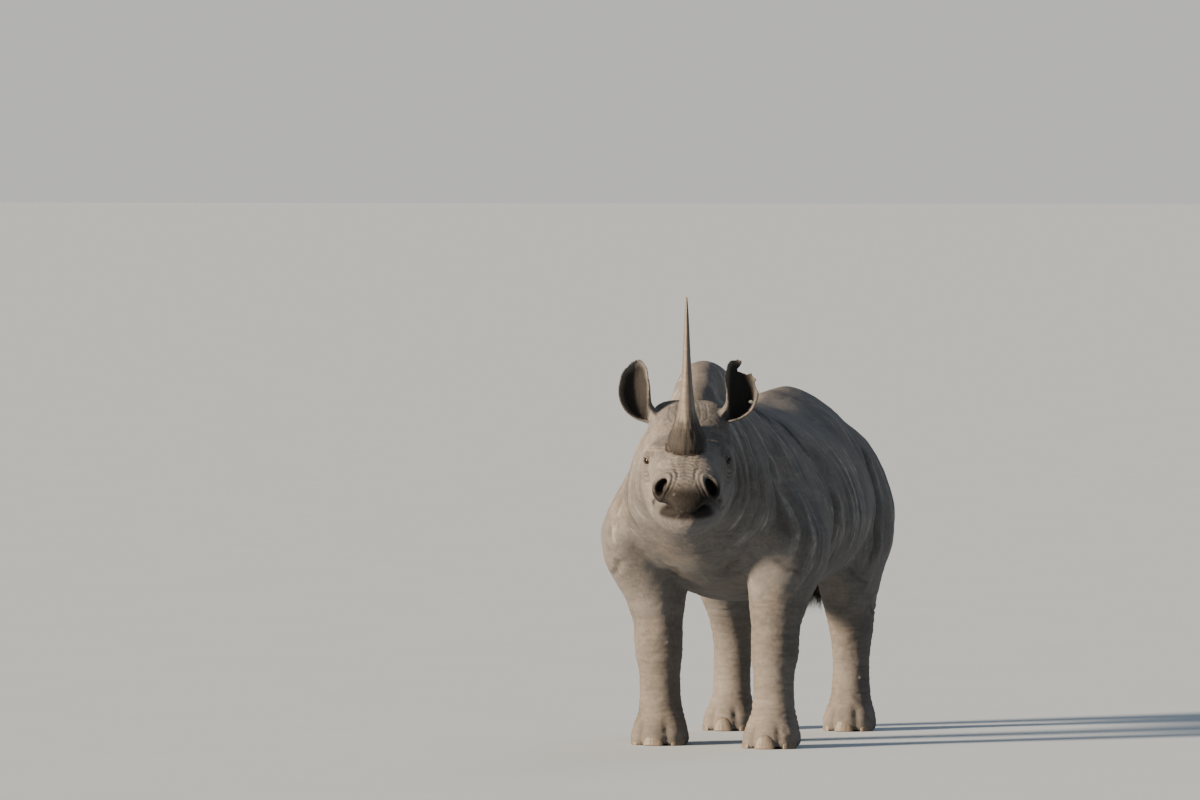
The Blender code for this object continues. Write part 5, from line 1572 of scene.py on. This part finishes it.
def hideMaterial():
    made, tree, shader = newMaterial("rhinoHide", Specular_IOR_Level=0.22)
    vector = ownPlace(tree)
    crack = placeGroup(tree, cracks, {"Vector": vector, "Size": 1.0})
    dusty = placeGroup(tree, dust, {"Vector": vector, "Amount": 0.85})["Mask"]
    patches = between(tree, noise(tree, vector, 3.2, 6.0, 0.6), 0.34, 0.66)
    base = blend(tree, patches, hide["dark"], hide["light"])
    base = blend(tree, between(tree, noise(tree, vector, 7.5, 5.0), 0.52, 0.75), base, hide["warm"])
    mottle = between(tree, noise(tree, vector, 60.0, 4.0, 0.65), 0.30, 0.70)
    base = blend(tree, 0.35, base, blend(tree, mottle, hide["dark"], hide["light"]))
    height = coordinate(tree, vector, "Z")
    low = between(tree, height, 0.85, 0.25)
    base = blend(tree, times(tree, low, 0.35), base, hide["warm"])
    base = blend(tree, dusty, base, hide["dust"])
    base = blend(tree, flankStreaks(tree, vector, height), base, hide["streak"])
    fold = attribute(tree, "fold")
    # painted shade in the cracks and along the folds
    base = blend(tree, times(tree, crack["Crack"], 0.27), base, hide["creaseShade"])
    base = blend(tree, times(tree, fold, 0.46), base, hide["creaseShade"])
    # muzzle and lips: real stain with painted shade
    lips = times(tree, attribute(tree, "lip"), between(tree, noise(tree, vector, 26.0), 0.10, 0.42))
    base = blend(tree, times(tree, lips, 0.97), base, hide["muzzleStainAndShade"])
    # painted shade inside the ear cups
    base = blend(tree, times(tree, attribute(tree, "earCupShade"), 0.93), base, hide["earCupShade"])
    # painted shade inside the nostrils
    base = blend(tree, attribute(tree, "pit"), base, hide["pit"])
    dull = plus(tree, times(tree, dusty, 0.22), 0.66)
    dull = maths(tree, "SUBTRACT", dull, times(tree, attribute(tree, "pit"), 0.16))
    setSurface(tree, shader, base, plus(tree, dull, times(tree, mottle, 0.08)))
    setBump(tree, shader, crack["Height"], 0.55, 0.0018)
    return made


def hornMaterial():
    made, tree, shader = newMaterial("hornKeratin", Specular_IOR_Level=0.45)
    fibres = attribute(tree, "fibre", "Vector")
    along = attribute(tree, "along")
    grain = placeGroup(tree, keratin, {"Vector": fibres, "Coarse": 0.9})
    uneven = times(tree, maths(tree, "SUBTRACT", grain["Shade"], 0.5), 0.22)
    collar = between(tree, plus(tree, along, uneven), 0.200, 0.110)
    shaft = blend(tree, between(tree, grain["Shade"], 0.34, 0.64), colour(0.058, 0.047, 0.040),
                  colour(0.158, 0.136, 0.116))
    base = blend(tree, between(tree, grain["Shade"], 0.34, 0.70), colour(0.005, 0.004, 0.0036),
                 colour(0.024, 0.020, 0.0175))
    speck = noise(tree, ownPlace(tree), 240.0, 4.0, 0.75)
    base = blend(tree, times(tree, between(tree, speck, 0.52, 0.72), 0.12), base, hide["light"])
    dark = between(tree, along, 0.36, 0.62)
    shaft = blend(tree, times(tree, dark, 0.60), shaft, colour(0.040, 0.030, 0.024))
    mixed = blend(tree, collar, shaft, base)
    dusty = placeGroup(tree, dust, {"Vector": ownPlace(tree), "Amount": 0.2})
    mixed = blend(tree, dusty["Mask"], mixed, hide["dust"])
    rough = plus(tree, times(tree, collar, 0.38), 0.40)
    setSurface(tree, shader, mixed, plus(tree, rough, times(tree, grain["Shade"], 0.12)))
    setBump(tree, shader, grain["Height"], 0.6, 0.0016)
    return made


def nailMaterial():
    made, tree, shader = newMaterial("toenailKeratin", Specular_IOR_Level=0.4)
    vector = ownPlace(tree)
    grain = placeGroup(tree, keratin, {"Vector": vector, "Coarse": 0.35})
    base = blend(tree, between(tree, grain["Shade"], 0.32, 0.66), colour(0.050, 0.041, 0.034),
                 colour(0.135, 0.115, 0.096))
    height = coordinate(tree, vector, "Z")
    low = between(tree, height, 0.022, 0.0)
    base = blend(tree, times(tree, low, 0.7), base, colour(0.130, 0.100, 0.074))
    dusty = placeGroup(tree, dust, {"Vector": vector, "Amount": 0.6})["Mask"]
    base = blend(tree, dusty, base, hide["dust"])
    setSurface(tree, shader, base, plus(tree, times(tree, grain["Shade"], 0.25), 0.42))
    setBump(tree, shader, grain["Height"], 0.5, 0.0010)
    return made


# polar is the angle from the gaze in degrees: pupil, mottled iris, dark rim, brown white
def eyeMaterial():
    made, tree, shader = newMaterial("wetEye", Specular_IOR_Level=0.12, Coat_Weight=0.32,
                                     Coat_Roughness=0.04, Coat_IOR=1.38)
    polar = attribute(tree, "polar")
    mottle = noise(tree, ownPlace(tree), 900.0, 3.0, 0.7)
    iris = blend(tree, between(tree, mottle, 0.35, 0.65), colour(0.006, 0.003, 0.002),
                 colour(0.024, 0.011, 0.006))
    white = blend(tree, between(tree, mottle, 0.4, 0.7), colour(0.012, 0.007, 0.005),
                  colour(0.030, 0.018, 0.013))
    base = blend(tree, between(tree, polar, 27.0, 31.0), iris, white)
    rim = times(tree, between(tree, polar, 24.0, 27.5), between(tree, polar, 33.0, 29.0))
    base = blend(tree, times(tree, rim, 0.85), base, colour(0.006, 0.004, 0.003))
    base = blend(tree, between(tree, polar, 12.5, 9.5), base, colour(0.002, 0.002, 0.002))
    rough = plus(tree, times(tree, between(tree, polar, 29.0, 40.0), 0.18), 0.10)
    setSurface(tree, shader, base, rough)
    return made


def hairMaterial(name, dark, light):
    made, tree, shader = newMaterial(name, Specular_IOR_Level=0.35)
    vector = ownPlace(tree)
    shade = noise(tree, vector, 380.0, 3.0, 0.6)
    base = blend(tree, between(tree, shade, 0.35, 0.68), dark, light)
    setSurface(tree, shader, base, plus(tree, times(tree, shade, 0.3), 0.42))
    setBump(tree, shader, noise(tree, vector, 900.0, 2.0), 0.2, 0.0003)
    return made


def dress(pieces, material):
    for piece in pieces:
        piece.data.materials.clear()
        piece.data.materials.append(material)


dress([skin, *lidPieces], hideMaterial())
dress(hornPieces, hornMaterial())
dress(eyePieces, eyeMaterial())
dress(nailPieces, nailMaterial())
bristle = hairMaterial("bristle", colour(0.020, 0.015, 0.012), colour(0.110, 0.082, 0.060))
softHair = hairMaterial("earHair", colour(0.045, 0.040, 0.036), colour(0.170, 0.152, 0.134))
for piece in hairPieces:
    dress([piece], softHair if "ear" in piece.name else bristle)
print("materials made")


# floor, light and camera
studio = {
    "floor": colour(0.46, 0.53, 0.60),
    "floorReach": 400.0,  # metres to each side
    "sky": (colour(0.72, 0.84, 1.0), 0.28),  # colour and strength of the light from all round
    "backdrop": (colour(1.0, 0.995, 0.950), 0.615),  # what is seen beyond the floor
    # azimuth and elevation from which each lamp shines, its strength, softness in degrees, colour
    "key": (-63, 15, 16.0, 8.0, (1.0, 0.78, 0.55)),
    "rim": (150, 45, 0.4, 25.0, (0.82, 0.90, 1.0)),
}
camera = {
    "azimuth": 15.5,  # degrees round the animal
    "distance": 40.0,  # from the eyes
    "lens": 300.0,
    "pitch": 1.432,  # degrees down
    "eyesRight": 0.07292,  # where the eyes are, as shares of the frame's width from its middle
    "eyesBelow": 0.05058,
}


def makeFloor():
    corners = studio["floorReach"] * np.array([(-1, -1, 0), (1, -1, 0), (1, 1, 0), (-1, 1, 0)], float)
    floor = makeObject("floor", makeMesh("floor", corners, np.array([[0, 1, 2, 3]]), outward=False))
    made, tree, shader = newMaterial("paleFloor", Roughness=0.85, Specular_IOR_Level=0.2)
    cloud = noise(tree, ownPlace(tree), 1.4, 4.0)
    darker = colour(*[0.94 * c for c in studio["floor"][:3]])
    tree.links.new(blend(tree, cloud, darker, studio["floor"]), shader.inputs["Base Color"])
    dress([floor], made)


def makeLights():
    world = bpy.data.worlds.new("studio")
    world.use_nodes = True
    tree = world.node_tree
    lit, seen = [put(tree, "ShaderNodeBackground", {"Color": studio[name][0], "Strength": studio[name][1]})
                 for name in ("sky", "backdrop")]
    ray = put(tree, "ShaderNodeLightPath").outputs["Is Camera Ray"]
    both = put(tree, "ShaderNodeMixShader", {0: ray, 1: lit.outputs[0], 2: seen.outputs[0]})
    tree.links.new(both.outputs[0], tree.nodes["World Output"].inputs["Surface"])
    bpy.context.scene.world = world
    for name in ("key", "rim"):
        azimuth, elevation, strength, softness, tone = studio[name]
        a, e = math.radians(azimuth + camera["azimuth"]), math.radians(elevation)
        away = Vector((math.sin(a) * math.cos(e), -math.cos(a) * math.cos(e), math.sin(e)))
        lamp = bpy.data.lights.new(name, "SUN")
        lamp.energy, lamp.angle, lamp.color = strength, math.radians(softness), tone
        light = bpy.data.objects.new(name, lamp)
        light.location = away * 8
        light.rotation_euler = away.to_track_quat("Z", "Y").to_euler()
        bpy.context.scene.collection.objects.link(light)


# the camera is turned first, and then stands back along the ray on which the eyes lie in the frame
def makeCamera():
    view = bpy.data.cameras.new("camera")
    view.lens, view.sensor_width, view.clip_end = camera["lens"], 36.0, 2000.0
    widths = camera["lens"] / view.sensor_width
    yaw = math.radians(camera["azimuth"]) + math.atan(camera["eyesRight"] / widths)
    pitch = math.radians(camera["pitch"])
    ahead = Vector((-math.sin(yaw) * math.cos(pitch), math.cos(yaw) * math.cos(pitch), -math.sin(pitch)))
    right = Vector((math.cos(yaw), math.sin(yaw), 0))
    up = right.cross(ahead)
    ray = (ahead * widths + right * camera["eyesRight"] - up * camera["eyesBelow"]).normalized()
    made = bpy.data.objects.new("camera", view)
    place = Matrix((right, up, -ahead)).transposed().to_4x4()
    place.translation = Vector(eyeMiddle) - ray * camera["distance"]
    made.matrix_world = place
    bpy.context.scene.collection.objects.link(made)
    bpy.context.scene.camera = made


makeFloor()
makeLights()
makeCamera()
print("studio made")
